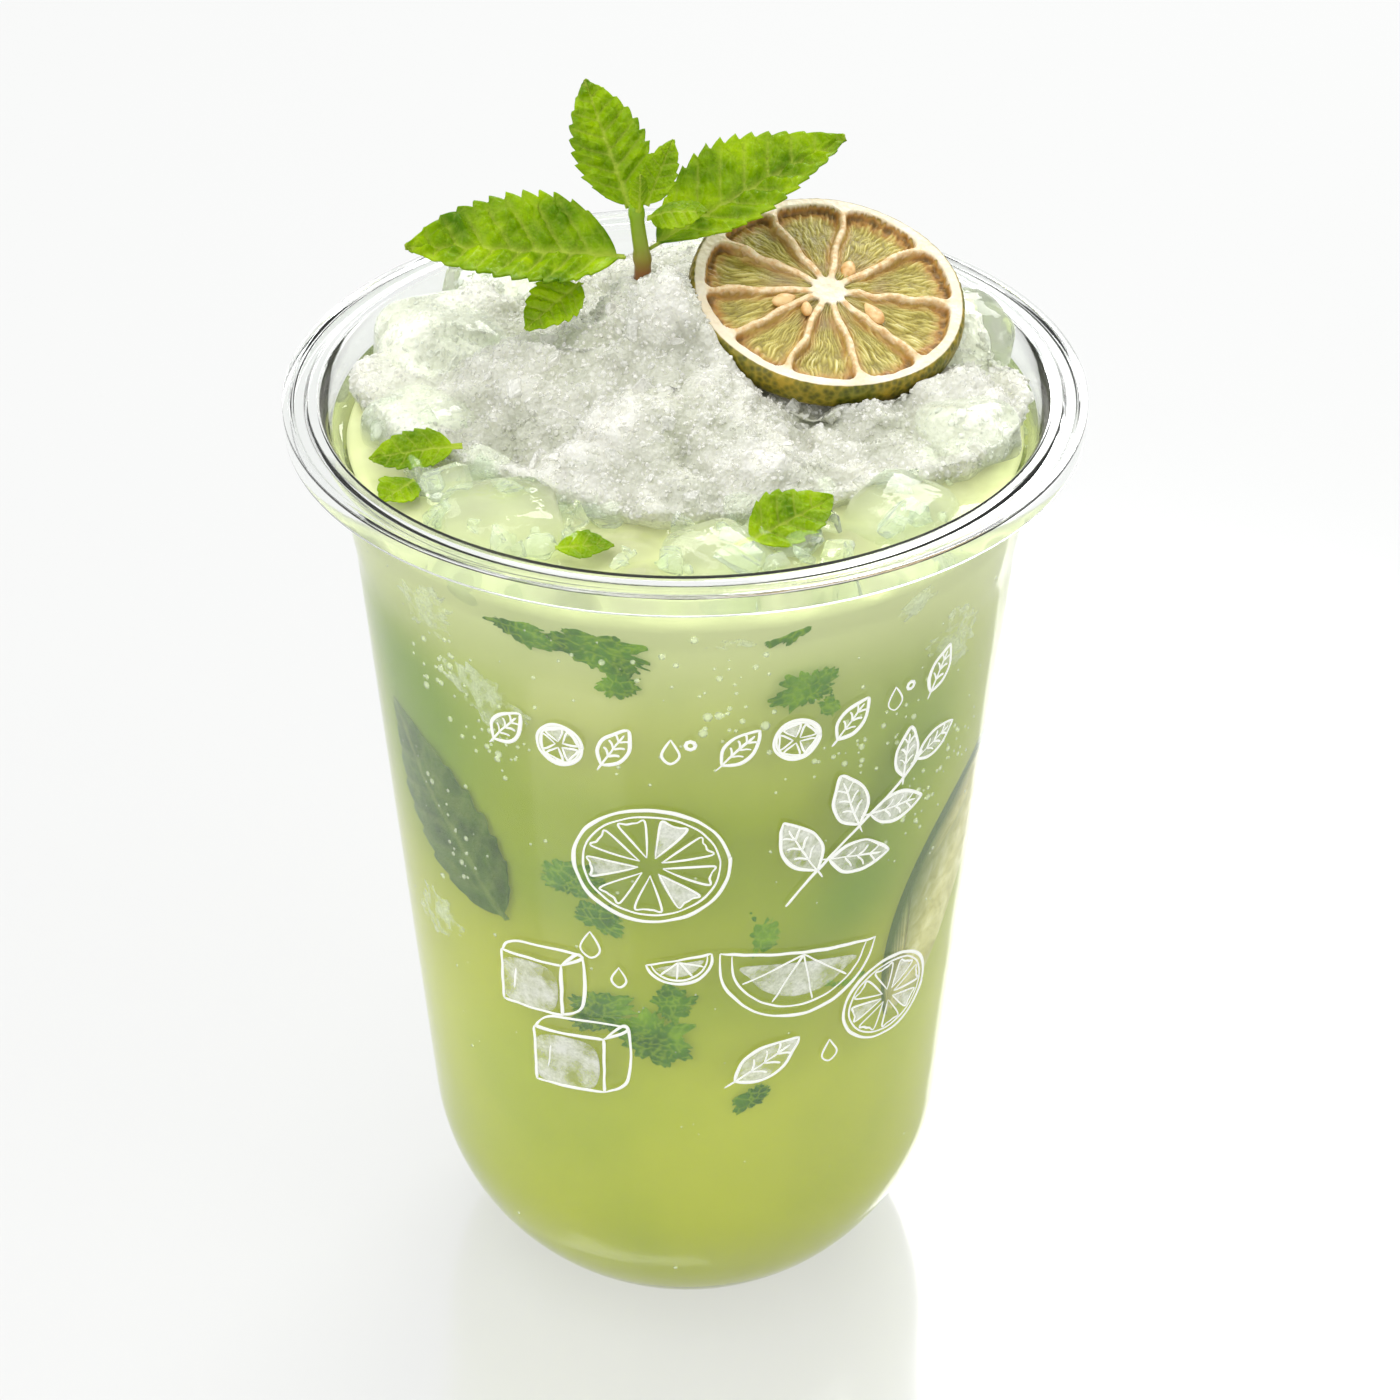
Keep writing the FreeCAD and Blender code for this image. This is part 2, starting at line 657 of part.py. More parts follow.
def halfWidth(along, leaf):
    """Half the blade's width at a share of the leaf's length, without its teeth."""
    blade = (along - leaf["stalk"]) / (1 - leaf["stalk"])
    thin = size("leaf_stalk_width") / 2
    if blade <= 0:
        return thin
    rise, fall = size("leaf_base_shape"), size("leaf_tip_shape")
    widest = rise / (rise + fall)
    peak = widest ** rise * (1 - widest) ** fall
    return thin + (leaf["width"] / 2 - thin) * blade ** rise * (1 - blade) ** fall / peak


def leafSolid(leaf, start):
    """A thin serrated blade along a bent midrib that begins at start."""
    heading, climb = math.radians(leaf["heading"]), math.radians(leaf["climb"])
    roll, fold = math.radians(leaf["roll"]), math.radians(leaf["fold"])
    along = Vector(math.cos(heading) * math.cos(climb), math.sin(heading) * math.cos(climb),
                   math.sin(climb))
    level = Vector(-math.sin(heading), math.cos(heading), 0)
    over = along.cross(level)
    side = level * math.cos(roll) + over * math.sin(roll)
    normal = over * math.cos(roll) - level * math.sin(roll)

    stations = 2 * int(leaf["teeth"]) + 2
    top, low = [], []
    for station in range(stations + 1):
        share = station / stations
        width = halfWidth(share, leaf)
        if station % 2 and width > 1:
            width *= 1 + size("leaf_tooth")
        middle = start + along * (leaf["length"] * share) - normal * (leaf["droop"] * share ** 2)
        rowTop, rowLow = [], []
        for across in (-1, -0.5, 0, 0.5, 1):
            lift = abs(across) * width
            point = middle + side * (across * width * math.cos(fold)) \
                + normal * (lift * math.sin(fold))
            rowTop.append(point + normal * (size("leaf_thickness") / 2))
            rowLow.append(point - normal * (size("leaf_thickness") / 2))
        top.append(rowTop)
        low.append(rowLow)
    return solidFromGrid(top, low)


def makeLeaves():
    """The sprig's leaves start at the stem, the loose ones lie on ice or drink."""
    made = []
    level = total(*DRINK_LEVEL)[0]
    for name, values in SPRIG_LEAVES.items():
        leaf = group(name, values)
        share = leaf["up"] / size("stem_height")
        radius = size("stem_foot_radius") * (1 - share) + size("stem_top_radius") * share
        heading = math.radians(leaf["heading"])
        reach = radius / max(abs(math.cos(heading)), abs(math.sin(heading)))
        reach += size("leaf_gap") + size("leaf_thickness")
        start = Vector(size("stem_x") + reach * math.cos(heading),
                       size("stem_y") + reach * math.sin(heading),
                       level + size("stem_rise") + leaf["up"])
        made.append(addLeaf(name, leaf, start))
    for name, values in ICE_LEAVES.items():
        leaf = group(name, values)
        rise = iceRise(leaf["x"], leaf["y"]) + leaf["lift"]
        made.append(addLeaf(name, leaf, Vector(leaf["x"], leaf["y"], level + rise)))
    for name, values in FLOATING_LEAVES.items():
        leaf = group(name, values)
        radius = throatRadiusAt(level) - leaf["inset"]
        bearing = math.radians(leaf["bearing"])
        start = Vector(radius * math.cos(bearing), radius * math.sin(bearing),
                       level + leaf["lift"])
        made.append(addLeaf(name, leaf, start))
    return made


def addLeaf(name, leaf, start):
    feature = "Leaf" + "".join(word.capitalize() for word in name.split("_"))
    return addFeature(feature, "mint_leaf_" + name, leafSolid(leaf, start))


# ---- document -----------------------------------------------------------------------

def checkDocument(nodes):
    for item in doc.Objects:
        if "Invalid" in item.State or "Error" in item.State:
            raise RuntimeError("%s failed: %s" % (item.Name, item.State))
    for node in nodes:
        shape = node.Shape
        if shape.isNull() or not shape.isValid() or shape.Volume <= 0:
            raise RuntimeError("%s has no valid solid" % node.Label)


fillSheet()
nodes = [makeCup(), makeDrink(), makeSlice(), makeStem(), makeIce()] + makeLeaves()
doc.recompute()
checkDocument(nodes)
os.makedirs("parts", exist_ok=True)
for node in nodes:
    node.Shape.exportStep("parts/%s.step" % node.Label)
    box = node.Shape.BoundBox
    print("%-22s %d solid(s) volume %9.1f  z %6.1f to %6.1f"
          % (node.Label, len(node.Shape.Solids), node.Shape.Volume, box.ZMin, box.ZMax))
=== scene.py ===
import math
import random

import bmesh
import bpy
from mathutils import Matrix, Vector, noise


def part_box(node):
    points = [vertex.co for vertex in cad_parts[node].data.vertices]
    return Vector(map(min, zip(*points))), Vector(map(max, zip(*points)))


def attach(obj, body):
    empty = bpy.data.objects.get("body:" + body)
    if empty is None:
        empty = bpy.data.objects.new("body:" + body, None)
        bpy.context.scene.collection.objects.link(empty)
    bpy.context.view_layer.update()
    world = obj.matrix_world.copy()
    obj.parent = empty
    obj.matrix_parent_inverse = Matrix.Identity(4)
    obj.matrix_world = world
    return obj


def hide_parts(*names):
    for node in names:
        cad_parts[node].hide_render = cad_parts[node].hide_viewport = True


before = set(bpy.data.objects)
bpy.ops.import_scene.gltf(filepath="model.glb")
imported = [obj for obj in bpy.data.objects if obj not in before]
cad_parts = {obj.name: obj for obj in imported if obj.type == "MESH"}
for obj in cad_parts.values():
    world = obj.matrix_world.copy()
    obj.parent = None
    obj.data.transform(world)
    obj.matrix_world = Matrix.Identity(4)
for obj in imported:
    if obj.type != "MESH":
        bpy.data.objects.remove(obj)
noise.seed_set(5)  # or the noise vectors would differ from run to run
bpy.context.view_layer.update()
scene = bpy.context.scene
millimetre = 0.001  # pieces are shaped in millimetres and brought to metres at the end
meanRadius = 38  # of the cup's wall, to turn a distance round it into an angle


def linear(hexColour):
    parts = [int(hexColour[i : i + 2], 16) / 255 for i in (1, 3, 5)]
    return [p / 12.92 if p <= 0.04045 else ((p + 0.055) / 1.055) ** 2.4 for p in parts] + [1.0]


def addNode(tree, kind, inputs=None, stops=None, **settings):
    node = tree.nodes.new("ShaderNode" + kind)
    for name, value in settings.items():
        setattr(node, name, value)
    if stops:
        ramp = node.color_ramp.elements
        for place, colour in stops[1:-1]:
            ramp.new(place).color = linear(colour)
        for stop, (place, colour) in ((ramp[0], stops[0]), (ramp[-1], stops[-1])):
            stop.position, stop.color = place, linear(colour)
    for name, value in (inputs or {}).items():
        if isinstance(value, bpy.types.NodeSocket):
            tree.links.new(value, node.inputs[name])
        else:
            node.inputs[name].default_value = value
    return node


def newMaterial(name):
    material = bpy.data.materials.new(name)
    material.use_nodes = True
    material.node_tree.nodes.clear()
    return material, material.node_tree


def show(tree, shader):
    addNode(tree, "OutputMaterial", {"Surface": shader})


def rampUp(value, low, high):
    # 0 up to low, 1 from high on, and even between
    return min(max((value - low) / (high - low), 0.0), 1.0)


def turned(x, y, degrees):
    turn = math.radians(degrees)
    return x * math.cos(turn) - y * math.sin(turn), x * math.sin(turn) + y * math.cos(turn)


def polar(radius, angle, height):
    return Vector((radius * math.cos(angle), radius * math.sin(angle), height))


def perMillimetre(size):
    # a texture's scale for features of this size, on Object coordinates in metres
    return 1 / (size * millimetre)


def letLampsThrough(tree, shader, tint):
    # lamp light goes straight through a clear wall, so that what stands behind it is lit
    lamps = addNode(tree, "BsdfTransparent", {"Color": linear(tint)})
    path = addNode(tree, "LightPath")
    mixed = addNode(tree, "MixShader", {0: path.outputs["Is Shadow Ray"], 1: shader, 2: lamps.outputs[0]})
    return mixed.outputs[0]


def meshOf(bm, name="shape"):
    mesh = bpy.data.meshes.new(name)
    bm.to_mesh(mesh)
    bm.free()
    return mesh


def finishPiece(name, bm, material, replaced=(), sharp=None, outward=True):
    if outward:
        bmesh.ops.recalc_face_normals(bm, faces=bm.faces)
    bmesh.ops.scale(bm, vec=Vector((millimetre,) * 3), verts=bm.verts)
    mesh = meshOf(bm, name)
    mesh.materials.append(material)
    mesh.shade_smooth()
    if sharp is not None:
        mesh.set_sharp_from_angle(angle=math.radians(sharp))
    piece = bpy.data.objects.new(name, mesh)
    scene.collection.objects.link(piece)
    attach(piece, "root")
    if replaced:
        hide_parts(*replaced)
    print("made", name, len(mesh.polygons), "faces")


# The camera and the studio come first.

studio = {
    "cameraPlace": (0.00175, -0.3566, 0.3187),
    "cameraTilt": 56.18,
    "lens": 87.78,
    "aim": (0, 0, 0.08),  # where the lamps point
    "floorSize": 6.0,
    "floorGlow": 0.56,
    "sky": [(0.0, "#D2D4D2"), (0.12, "#AEB1AE"), (0.5, "#C6C8C6"), (0.9, "#E8EAE8")],  # lights the drink
    "backdrop": "#F9F9F9",  # and what the camera sees, straight or through the cup
}
lamps = [  # name, place, size, watts
    ("softboxBack", (0.3, 0.85, 0.8), 0.5, 5.8),
    ("softboxTop", (-0.15, 0.05, 1.1), 0.6, 4.6),
    ("softboxFront", (-0.75, -0.85, 0.65), 0.7, 3.6),
    ("softboxSide", (0.9, -0.45, 0.45), 0.4, 1.5),
]


def makeStudio():
    camera = bpy.data.objects.new("camera", bpy.data.cameras.new("camera"))
    camera.location = studio["cameraPlace"]
    camera.rotation_euler = (math.radians(studio["cameraTilt"]), 0, 0)
    camera.data.lens = studio["lens"]
    camera.data.clip_start = 0.01
    scene.collection.objects.link(camera)
    scene.camera = camera
    aim = Vector(studio["aim"])
    for name, place, size, watts in lamps:
        lamp = bpy.data.objects.new(name, bpy.data.lights.new(name, "AREA"))
        lamp.data.shape = "SQUARE"
        lamp.data.size = size
        lamp.data.energy = watts
        lamp.location = place
        lamp.rotation_euler = (aim - Vector(place)).to_track_quat("-Z", "Y").to_euler()
        scene.collection.objects.link(lamp)
    world = bpy.data.worlds.new("studioAir")
    world.use_nodes = True
    scene.world = world
    tree = world.node_tree
    tree.nodes.clear()
    direction = addNode(tree, "TexCoord")
    height = addNode(tree, "SeparateXYZ", {0: direction.outputs["Generated"]})
    sky = addNode(tree, "ValToRGB", {0: height.outputs["Z"]}, stops=studio["sky"])
    ray = addNode(tree, "LightPath").outputs
    seen = addNode(tree, "Math", operation="MAXIMUM", inputs={
        0: ray["Is Camera Ray"], 1: ray["Is Transmission Ray"],
    })
    backdrop = addNode(tree, "Mix", data_type="RGBA", inputs={
        0: seen.outputs[0], 6: sky.outputs[0], 7: linear(studio["backdrop"]),
    })
    air = addNode(tree, "Background", {"Color": backdrop.outputs[2], "Strength": 1.0})
    addNode(tree, "OutputWorld", {"Surface": air.outputs[0]})

    bm = bmesh.new()
    bmesh.ops.create_grid(bm, x_segments=1, y_segments=1, size=studio["floorSize"] / 2)
    mesh = meshOf(bm, "floor")
    # White acrylic sheet, cast and polished: even white with a faint soft mirror image.
    material, tree = newMaterial("whiteAcrylic")
    sheet = addNode(tree, "BsdfPrincipled", {
        "Base Color": linear("#8C8C8C"), "Roughness": 0.13, "IOR": 2.1,
        "Emission Color": linear("#FBFBFB"), "Emission Strength": studio["floorGlow"],
    })
    show(tree, sheet.outputs[0])
    mesh.materials.append(material)
    floor = bpy.data.objects.new("floor", mesh)
    scene.collection.objects.link(floor)
    scene.view_settings.view_transform = "Standard"
    scene.cycles.use_denoising = True
    scene.cycles.max_bounces = 18
    scene.cycles.transmission_bounces = 18
    scene.cycles.transparent_max_bounces = 12
    scene.cycles.diffuse_bounces = 3
    scene.cycles.glossy_bounces = 4
    print("made the studio")


makeStudio()

# The cup, and the radius of its wall, which the drink, the print and the bubbles follow.

cup = {
    "height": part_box("cup")[1].z / millimetre,
    "rimRadius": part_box("cup")[1].x / millimetre,
    "wall": 0.8,
    "arcCentre": (2.39, 24.65),
    "arcRadius": 31.5,
    "taper": 4.235,  # degrees that the wall leans out
    "shoulder": (40.0, 106.0),
    "throat": (42.5, 121.0),
    "neck": (43.5, 124.2),
    "rimUnder": 122.2,  # how low the rolled rim hangs
    "rimSheet": 0.8,
    "outerRidge": (0.9, 1.4),  # where the outer ridge and its slope end, inwards from the rim
    "innerRidge": (43.4, 44.5, 45.0),
    "rounding": 0.18,
    "footRadius": 22.0,
    "footWidth": 2.4,
    "baseRecess": 2.0,
    "bead": 0.45,  # how far the rim's two ridges stand above the band between them
    "steps": 192,
}


def wallRadius(height, inset=0.0):
    centre, radius = cup["arcCentre"], cup["arcRadius"] - inset
    lean = math.radians(cup["taper"])
    arcTop = centre[1] - cup["arcRadius"] * math.sin(lean)
    marks = [
        (centre[0] + cup["arcRadius"] * math.cos(lean), arcTop), cup["shoulder"], cup["throat"], cup["neck"]
    ]
    if height <= arcTop:
        return centre[0] + math.sqrt(max(radius**2 - (height - centre[1]) ** 2, 0.0))
    for (lowRadius, low), (highRadius, high) in zip(marks, marks[1:]):
        if height <= high:
            return lowRadius + (highRadius - lowRadius) * (height - low) / (high - low) - inset
    return marks[-1][0] - inset


def wallProfile(inset, foot, top):
    # points up the wall, close together round the bottom's curve
    heights = [foot + (24.0 - foot) * (step / 22) ** 1.6 for step in range(22)]
    heights += [24.0, 50.0, 78.0, 104.5, 106.0, 107.5, 120.0, 121.0, 122.0, cup["neck"][1]]
    heights = [height for height in heights if height < top - 0.3] + [top]
    return [(wallRadius(height, inset), height) for height in heights]


def spinProfile(bm, profile):
    points = [bm.verts.new((radius, 0, height)) for radius, height in profile]
    chain = [bm.edges.new(pair) for pair in zip(points, points[1:])]
    bmesh.ops.spin(
        bm, geom=points + chain, cent=(0, 0, 0), axis=(0, 0, 1), angle=2 * math.pi, steps=cup["steps"],
        use_merge=True,
    )
    bmesh.ops.remove_doubles(bm, verts=bm.verts, dist=1e-4)


def bevelRings(bm, corners, width):
    def onRing(vertex, corner):
        return abs(math.hypot(vertex.co.x, vertex.co.y) - corner[0]) + abs(vertex.co.z - corner[1]) < 0.02

    rings = [e for e in bm.edges if any(all(onRing(v, c) for v in e.verts) for c in corners)]
    bmesh.ops.bevel(
        bm, geom=rings, offset=width, segments=3, profile=0.5, affect="EDGES", material=-1,
        clamp_overlap=True,
    )


def makeCup():
    top, rim, bead = cup["height"], cup["rimRadius"], cup["bead"]
    foot, recess, wall = cup["footRadius"], cup["baseRecess"], cup["wall"]
    under, neck, width = cup["rimUnder"], cup["neck"][1], cup["footWidth"]
    rolled = [(rim - cup["rimSheet"], under), (rim, under), (rim, top), (rim - cup["outerRidge"][0], top)]
    valley = [(rim - cup["outerRidge"][1], top - bead), (cup["innerRidge"][2], top - bead)]
    ridge = [(cup["innerRidge"][1], top), (cup["innerRidge"][0], top)]
    ring = [(foot - width, 0), (foot, 0)]
    profile = [(0, recess), (foot - width - recess, recess)] + ring
    profile += wallProfile(0, 0.05, neck)
    profile += [(rim - cup["rimSheet"], neck)] + rolled + valley + ridge
    profile += wallProfile(wall, wall, neck)[::-1]
    profile += [(foot - 2 * wall, wall), (foot - 2 * wall - recess, recess + wall), (0, recess + wall)]
    bm = bmesh.new()
    spinProfile(bm, profile)
    bevelRings(bm, rolled + valley + ridge + ring, cup["rounding"])
    # PET sheet, thermoformed and glass clear: sharp white edges where the rim bends the light.
    material, tree = newMaterial("clearFormedPet")
    wallNoise = addNode(tree, "TexNoise", {
        "Vector": addNode(tree, "TexCoord").outputs["Object"], "Scale": perMillimetre(14), "Detail": 2.0,
    })
    ripple = addNode(tree, "Bump", {"Height": wallNoise.outputs[0], "Distance": 0.0004, "Strength": 0.25})
    plastic = addNode(tree, "BsdfPrincipled", {
        "Base Color": linear("#FBFDFB"), "Roughness": 0.03, "IOR": 1.5, "Transmission Weight": 1.0,
        "Specular IOR Level": 0.35, "Normal": ripple.outputs[0],
    })
    show(tree, letLampsThrough(tree, plastic.outputs[0], "#F6F8F6"))
    finishPiece("clear_cup", bm, material, ["cup"], sharp=40)


makeCup()

# The drink: a clear outer layer that reaches into the wall, over a cloudy heart.

drink = {
    "level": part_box("drink")[1].z / millimetre,
    "bite": 0.15,  # into the wall, so that no air shows
    "meniscus": 0.8,
    "ripple": 0.3,
    "rippleSize": 5.0,
    "haze": 3.2,  # how deep the eye sees before the drink turns cloudy
    "surfaceHaze": 1.0,  # and the same at the surface
    "slushDrop": 2.3,  # from the surface down to the cloudy ice under it
    "slushRelief": 2.2,
    "slushSize": 6.0,
}
shadows = [  # deep leaves that only show as a green haze: bearing, height, width, tall, strength
    (-146, 84, 14, 17, 0.9), (-142, 95, 13, 8, 0.35), (-46, 88, 14, 15, 0.75), (-54, 71, 11, 8, 0.7),
    (-96, 80, 16, 11, 0.5), (-60, 102, 14, 8, 0.25), (-101, 54, 13, 8, 0.25), (-76, 62, 18, 10, 0.3),
    (-118, 73, 10, 7, 0.35), (20, 80, 18, 15, 0.7), (75, 60, 20, 14, 0.7), (120, 92, 18, 12, 0.8),
    (160, 66, 14, 18, 0.6), (200, 100, 15, 9, 0.5),
]


def hazeAt(point):
    bearing = math.degrees(math.atan2(point.y, point.x))
    total = 0.0
    for middle, height, width, tall, strength in shadows:
        across = math.radians((bearing - middle + 180) % 360 - 180) * meanRadius
        total += strength * math.exp(-((across / width) ** 2) - ((point.z - height) / tall) ** 2)
    return min(total, 1.0)


def makeDrink():
    level = drink["level"]
    inset = cup["wall"] - drink["bite"]
    profile = [(0, 2.65), (18.5, 2.65), (20.5, 0.65)]
    profile += wallProfile(inset, 0.65, level + drink["meniscus"])
    edge = profile[-1][0]
    profile += [(edge - 0.25, level + 0.5), (edge - 0.8, level + 0.2), (edge - 1.8, level)]
    profile += [(edge - 1.8 - step * (edge - 1.8) / 60, level) for step in range(1, 61)]
    bm = bmesh.new()
    spinProfile(bm, profile)
    for vertex in bm.verts:
        radius = math.hypot(vertex.co.x, vertex.co.y)
        if vertex.co.z > level - 0.01 and radius < edge - 1.9:
            wave = noise.noise(vertex.co / drink["rippleSize"]) + 0.4 * noise.noise(vertex.co / 2.6)
            vertex.co.z += drink["ripple"] * wave * min((edge - 1.9 - radius) / 3, 1)
    # Lime juice and soda with melted ice: a clear skin with a green cast.
    material, tree = newMaterial("limeSoda")
    liquid = addNode(tree, "BsdfPrincipled", {
        "Base Color": linear("#F3F8E4"), "Roughness": 0.0, "IOR": 1.34, "Transmission Weight": 1.0,
        "Specular IOR Level": 0.5,
    })
    show(tree, letLampsThrough(tree, liquid.outputs[0], "#F3F7E6"))
    finishPiece("lime_drink", bm, material, ["drink"], sharp=50)


def makeCloud():
    top = drink["level"] - drink["slushDrop"]
    haze = drink["haze"]
    profile = [(0, 3.9), (17.0, 3.9)]
    profile += wallProfile(haze, 4.6, top - 1.5)
    edge = profile[-1][0] - 0.8
    profile += [(edge, top - 0.4)]
    profile += [(edge - step * edge / 72, top) for step in range(1, 73)]
    bm = bmesh.new()
    spinProfile(bm, profile)
    bmesh.ops.subdivide_edges(
        bm, edges=[e for e in bm.edges if abs(e.verts[0].co.z - e.verts[1].co.z) > 4], cuts=9, use_grid_fill=True
    )
    deep = bm.verts.layers.float.new("deepGreen")
    slush = bm.verts.layers.float.new("slush")
    for vertex in bm.verts:
        radius = math.hypot(vertex.co.x, vertex.co.y)
        if vertex.co.z > top - 0.5:
            lump = noise.voronoi(vertex.co / drink["slushSize"])[0][0]
            fine = 0.45 * noise.noise(vertex.co / 2.2) + 0.25 * noise.noise(vertex.co / 0.9)
            vertex.co.z += drink["slushRelief"] * (0.9 - 1.5 * lump) + fine
            vertex[slush] = rampUp(edge - radius, 0, 3) * rampUp(1.1 - lump, 0, 1)
        # near the surface the slush crowds out to the wall
        crowded = rampUp(vertex.co.z - top + 5.5, 0, 4.5)
        spread = 1 + crowded * (haze - drink["surfaceHaze"]) / edge
        vertex.co.x *= spread
        vertex.co.y *= spread
        spot = vertex.co / 16
        wander = Vector((noise.noise(spot), noise.noise(spot + Vector((9, 9, 9))), 0)) * 4
        vertex[deep] = hazeAt(vertex.co + wander)
    # Muddled lime and crushed ice in suspension: cloudy, greener and darker where leaves hang deep.
    material, tree = newMaterial("cloudyLime")
    place = addNode(tree, "TexCoord").outputs["Object"]
    height = addNode(tree, "SeparateXYZ", {0: place})
    climbed = addNode(tree, "MapRange", {0: height.outputs["Z"], 1: 0.0, 2: drink["level"] * millimetre})
    depth = addNode(tree, "ValToRGB", {0: climbed.outputs[0]}, stops=[
        (0.0, "#B4B81C"), (0.16, "#BCC026"), (0.36, "#C8CC42"), (0.55, "#C2C438"), (0.72, "#B6BC2C"),
        (0.84, "#CCCE80"), (0.93, "#D8DAAC"), (1.0, "#DADCB8"),
    ])
    patches = addNode(tree, "TexNoise", {
        "Vector": place, "Scale": perMillimetre(34), "Detail": 3.0, "Roughness": 0.45, "Distortion": 0.3,
    })
    patchShare = addNode(tree, "MapRange", {0: patches.outputs[0], 1: 0.35, 2: 0.68})
    mottled = addNode(tree, "Mix", data_type="RGBA", blend_type="MULTIPLY", inputs={
        0: 0.5, 6: depth.outputs[0], 7: addNode(tree, "ValToRGB", {0: patchShare.outputs[0]}, stops=[
            (0.0, "#CFDCA4"), (0.5, "#F4F5E0"), (1.0, "#FFFDF0"),
        ]).outputs[0],
    })
    deepShare = addNode(tree, "Attribute", attribute_name="deepGreen")
    hazy = addNode(tree, "Mix", data_type="RGBA", inputs={
        0: deepShare.outputs["Fac"], 6: mottled.outputs[2], 7: linear("#7F9A24"),
    })
    slushShare = addNode(tree, "Attribute", attribute_name="slush")
    topped = addNode(tree, "Mix", data_type="RGBA", inputs={
        0: slushShare.outputs["Fac"], 6: hazy.outputs[2], 7: linear("#B4B498"),
    })
    # painted glow: the cloudy heart gives off light in its own colour, dimmer under the slush, in place of light
    # coming through the drink
    glow = addNode(tree, "Mix", data_type="RGBA", inputs={
        0: slushShare.outputs["Fac"], 6: hazy.outputs[2], 7: linear("#54543E"),
    })
    body = addNode(tree, "BsdfPrincipled", {
        "Base Color": topped.outputs[2], "Roughness": 0.7, "Specular IOR Level": 0.1,
        "Emission Color": glow.outputs[2], "Emission Strength": 0.28,
    })
    show(tree, body.outputs[0])
    finishPiece("cloudy_lime", bm, material)


makeDrink()
makeCloud()

# Where the dried lime slice lies, and its sizes, which the ice under it needs too.

limeSlice = {
    "centre": (17.2, 10.4, 132.0),  # of the upper face
    "tilt": 18.1,
    "lean": -63.2,
    "radius": 16.8,
    "thickness": 3.4,
    "corner": 0.5,  # the rind's edges are this much rounded
    "rind": 0.42,
    "pith": 1.3,
    "core": 1.9,
    "membranes": [0, 39, 81, 119, 151, 186, 216, 249, 284, 318],
    "membraneWidth": 0.26,
    "membraneRise": 0.45,
    "membraneWander": 4.0,  # degrees
    "fleshDepth": 1.25,
    "fieldRounding": 1.5,
    "sacLength": 2.9,
    "sacWidth": 0.42,
    "sacRelief": 0.32,
    "around": 560,
    "rings": 104,
    "underRings": 44,
    "sideRings": 8,
    "seeds": [  # from the middle, bearing, length, twist
        (4.6, 58, 3.3, 20), (6.2, 330, 3.8, -30), (5.9, 203, 3.4, 10), (4.4, 231, 2.5, 40),
    ],
}


def sliceMatrix():
    tilt, lean = math.radians(limeSlice["tilt"]), math.radians(limeSlice["lean"])
    normal = polar(math.sin(tilt), lean, math.cos(tilt))
    right = (Vector((1, 0, 0)) - normal * normal.x).normalized()
    turn = Matrix((right, normal.cross(right), normal)).transposed().to_4x4()
    return Matrix.Translation(limeSlice["centre"]) @ turn


# Crushed ice: the CAD heap roughened into crystals, with loose grains and clear chips on it.

ice = {
    "voxel": 0.43,
    "sinkBy": 3.0,  # the heap's foot goes on into the drink
    "clump": 12.0,
    "clumpRelief": 5.2,
    "lump": 3.8,
    "lumpRelief": 1.7,
    "crystal": 0.9,
    "crystalRelief": 0.34,
    "grains": 7600,
    "grainSize": (0.16, 0.42),
    "chips": 150,
    "chipSize": (0.6, 1.9),
    "chipKinds": 14,
    "chipBend": 0.34,
    "chipRounding": 0.14,
    "adrift": 260,  # clear chips loose on the drink round the heap
    "adriftSize": (0.8, 4.2),
    "adriftRadius": (21, 37.5),
}


def iceMaterial(name, colour, clear, roughness, subsurface):
    # Wet crushed ice: water clear, so its glitter and grey edges come from its many small faces; its hollows get a
    # painted grey-green shade.
    material, tree = newMaterial(name)
    place = addNode(tree, "TexCoord").outputs["Object"]
    frost = addNode(tree, "TexVoronoi", {"Vector": place, "Scale": perMillimetre(0.55)})
    dust = addNode(tree, "TexNoise", {"Vector": place, "Scale": perMillimetre(0.5), "Detail": 3.0})
    cloudy = addNode(tree, "TexNoise", {"Vector": place, "Scale": perMillimetre(6.0), "Detail": 3.0})
    tone = addNode(tree, "ValToRGB", {0: cloudy.outputs[0]}, stops=[
        (0.32, "#D6D6CB"), (0.5, colour), (0.68, "#F4F2EC"),
    ])
    # painted shade: darker grey-green in the hollows between the clumps
    deep = addNode(tree, "Attribute", attribute_name="hollowShade")
    toneAndHollowShade = addNode(tree, "Mix", data_type="RGBA", inputs={
        0: deep.outputs["Fac"], 6: tone.outputs[0], 7: linear("#BEC0AA"),
    })
    wet = addNode(tree, "MapRange", {0: cloudy.outputs[0], 1: 0.4, 2: 0.62, 3: 0.08, 4: roughness})
    grit = addNode(tree, "Bump", {
        "Height": frost.outputs["Distance"], "Distance": 0.0003, "Strength": 0.8,
    })
    grain = addNode(tree, "Bump", {
        "Height": dust.outputs[0], "Distance": 0.0002, "Strength": 0.6, "Normal": grit.outputs[0],
    })
    body = addNode(tree, "BsdfPrincipled", {
        "Base Color": toneAndHollowShade.outputs[2], "Roughness": wet.outputs[0], "IOR": 1.31,
        "Transmission Weight": clear, "Subsurface Weight": subsurface,
        "Subsurface Radius": (1.0, 1.0, 0.92), "Subsurface Scale": 0.003, "Normal": grain.outputs[0],
    })
    show(tree, letLampsThrough(tree, body.outputs[0], "#F4F6F0") if clear else body.outputs[0])
    return material


def putShape(bm, shape, matrix):
    # a copy of the shape goes into bm, and the shape itself comes back as it was
    shape.transform(matrix)
    bm.from_mesh(shape)
    shape.transform(matrix.inverted())


def anyPoint(dice, reach):
    return Vector([dice.uniform(-reach, reach) for _ in range(3)])


def anyTurn(dice):
    axis = anyPoint(dice, 1)
    return Matrix.Rotation(dice.uniform(0, 2 * math.pi), 4, axis)


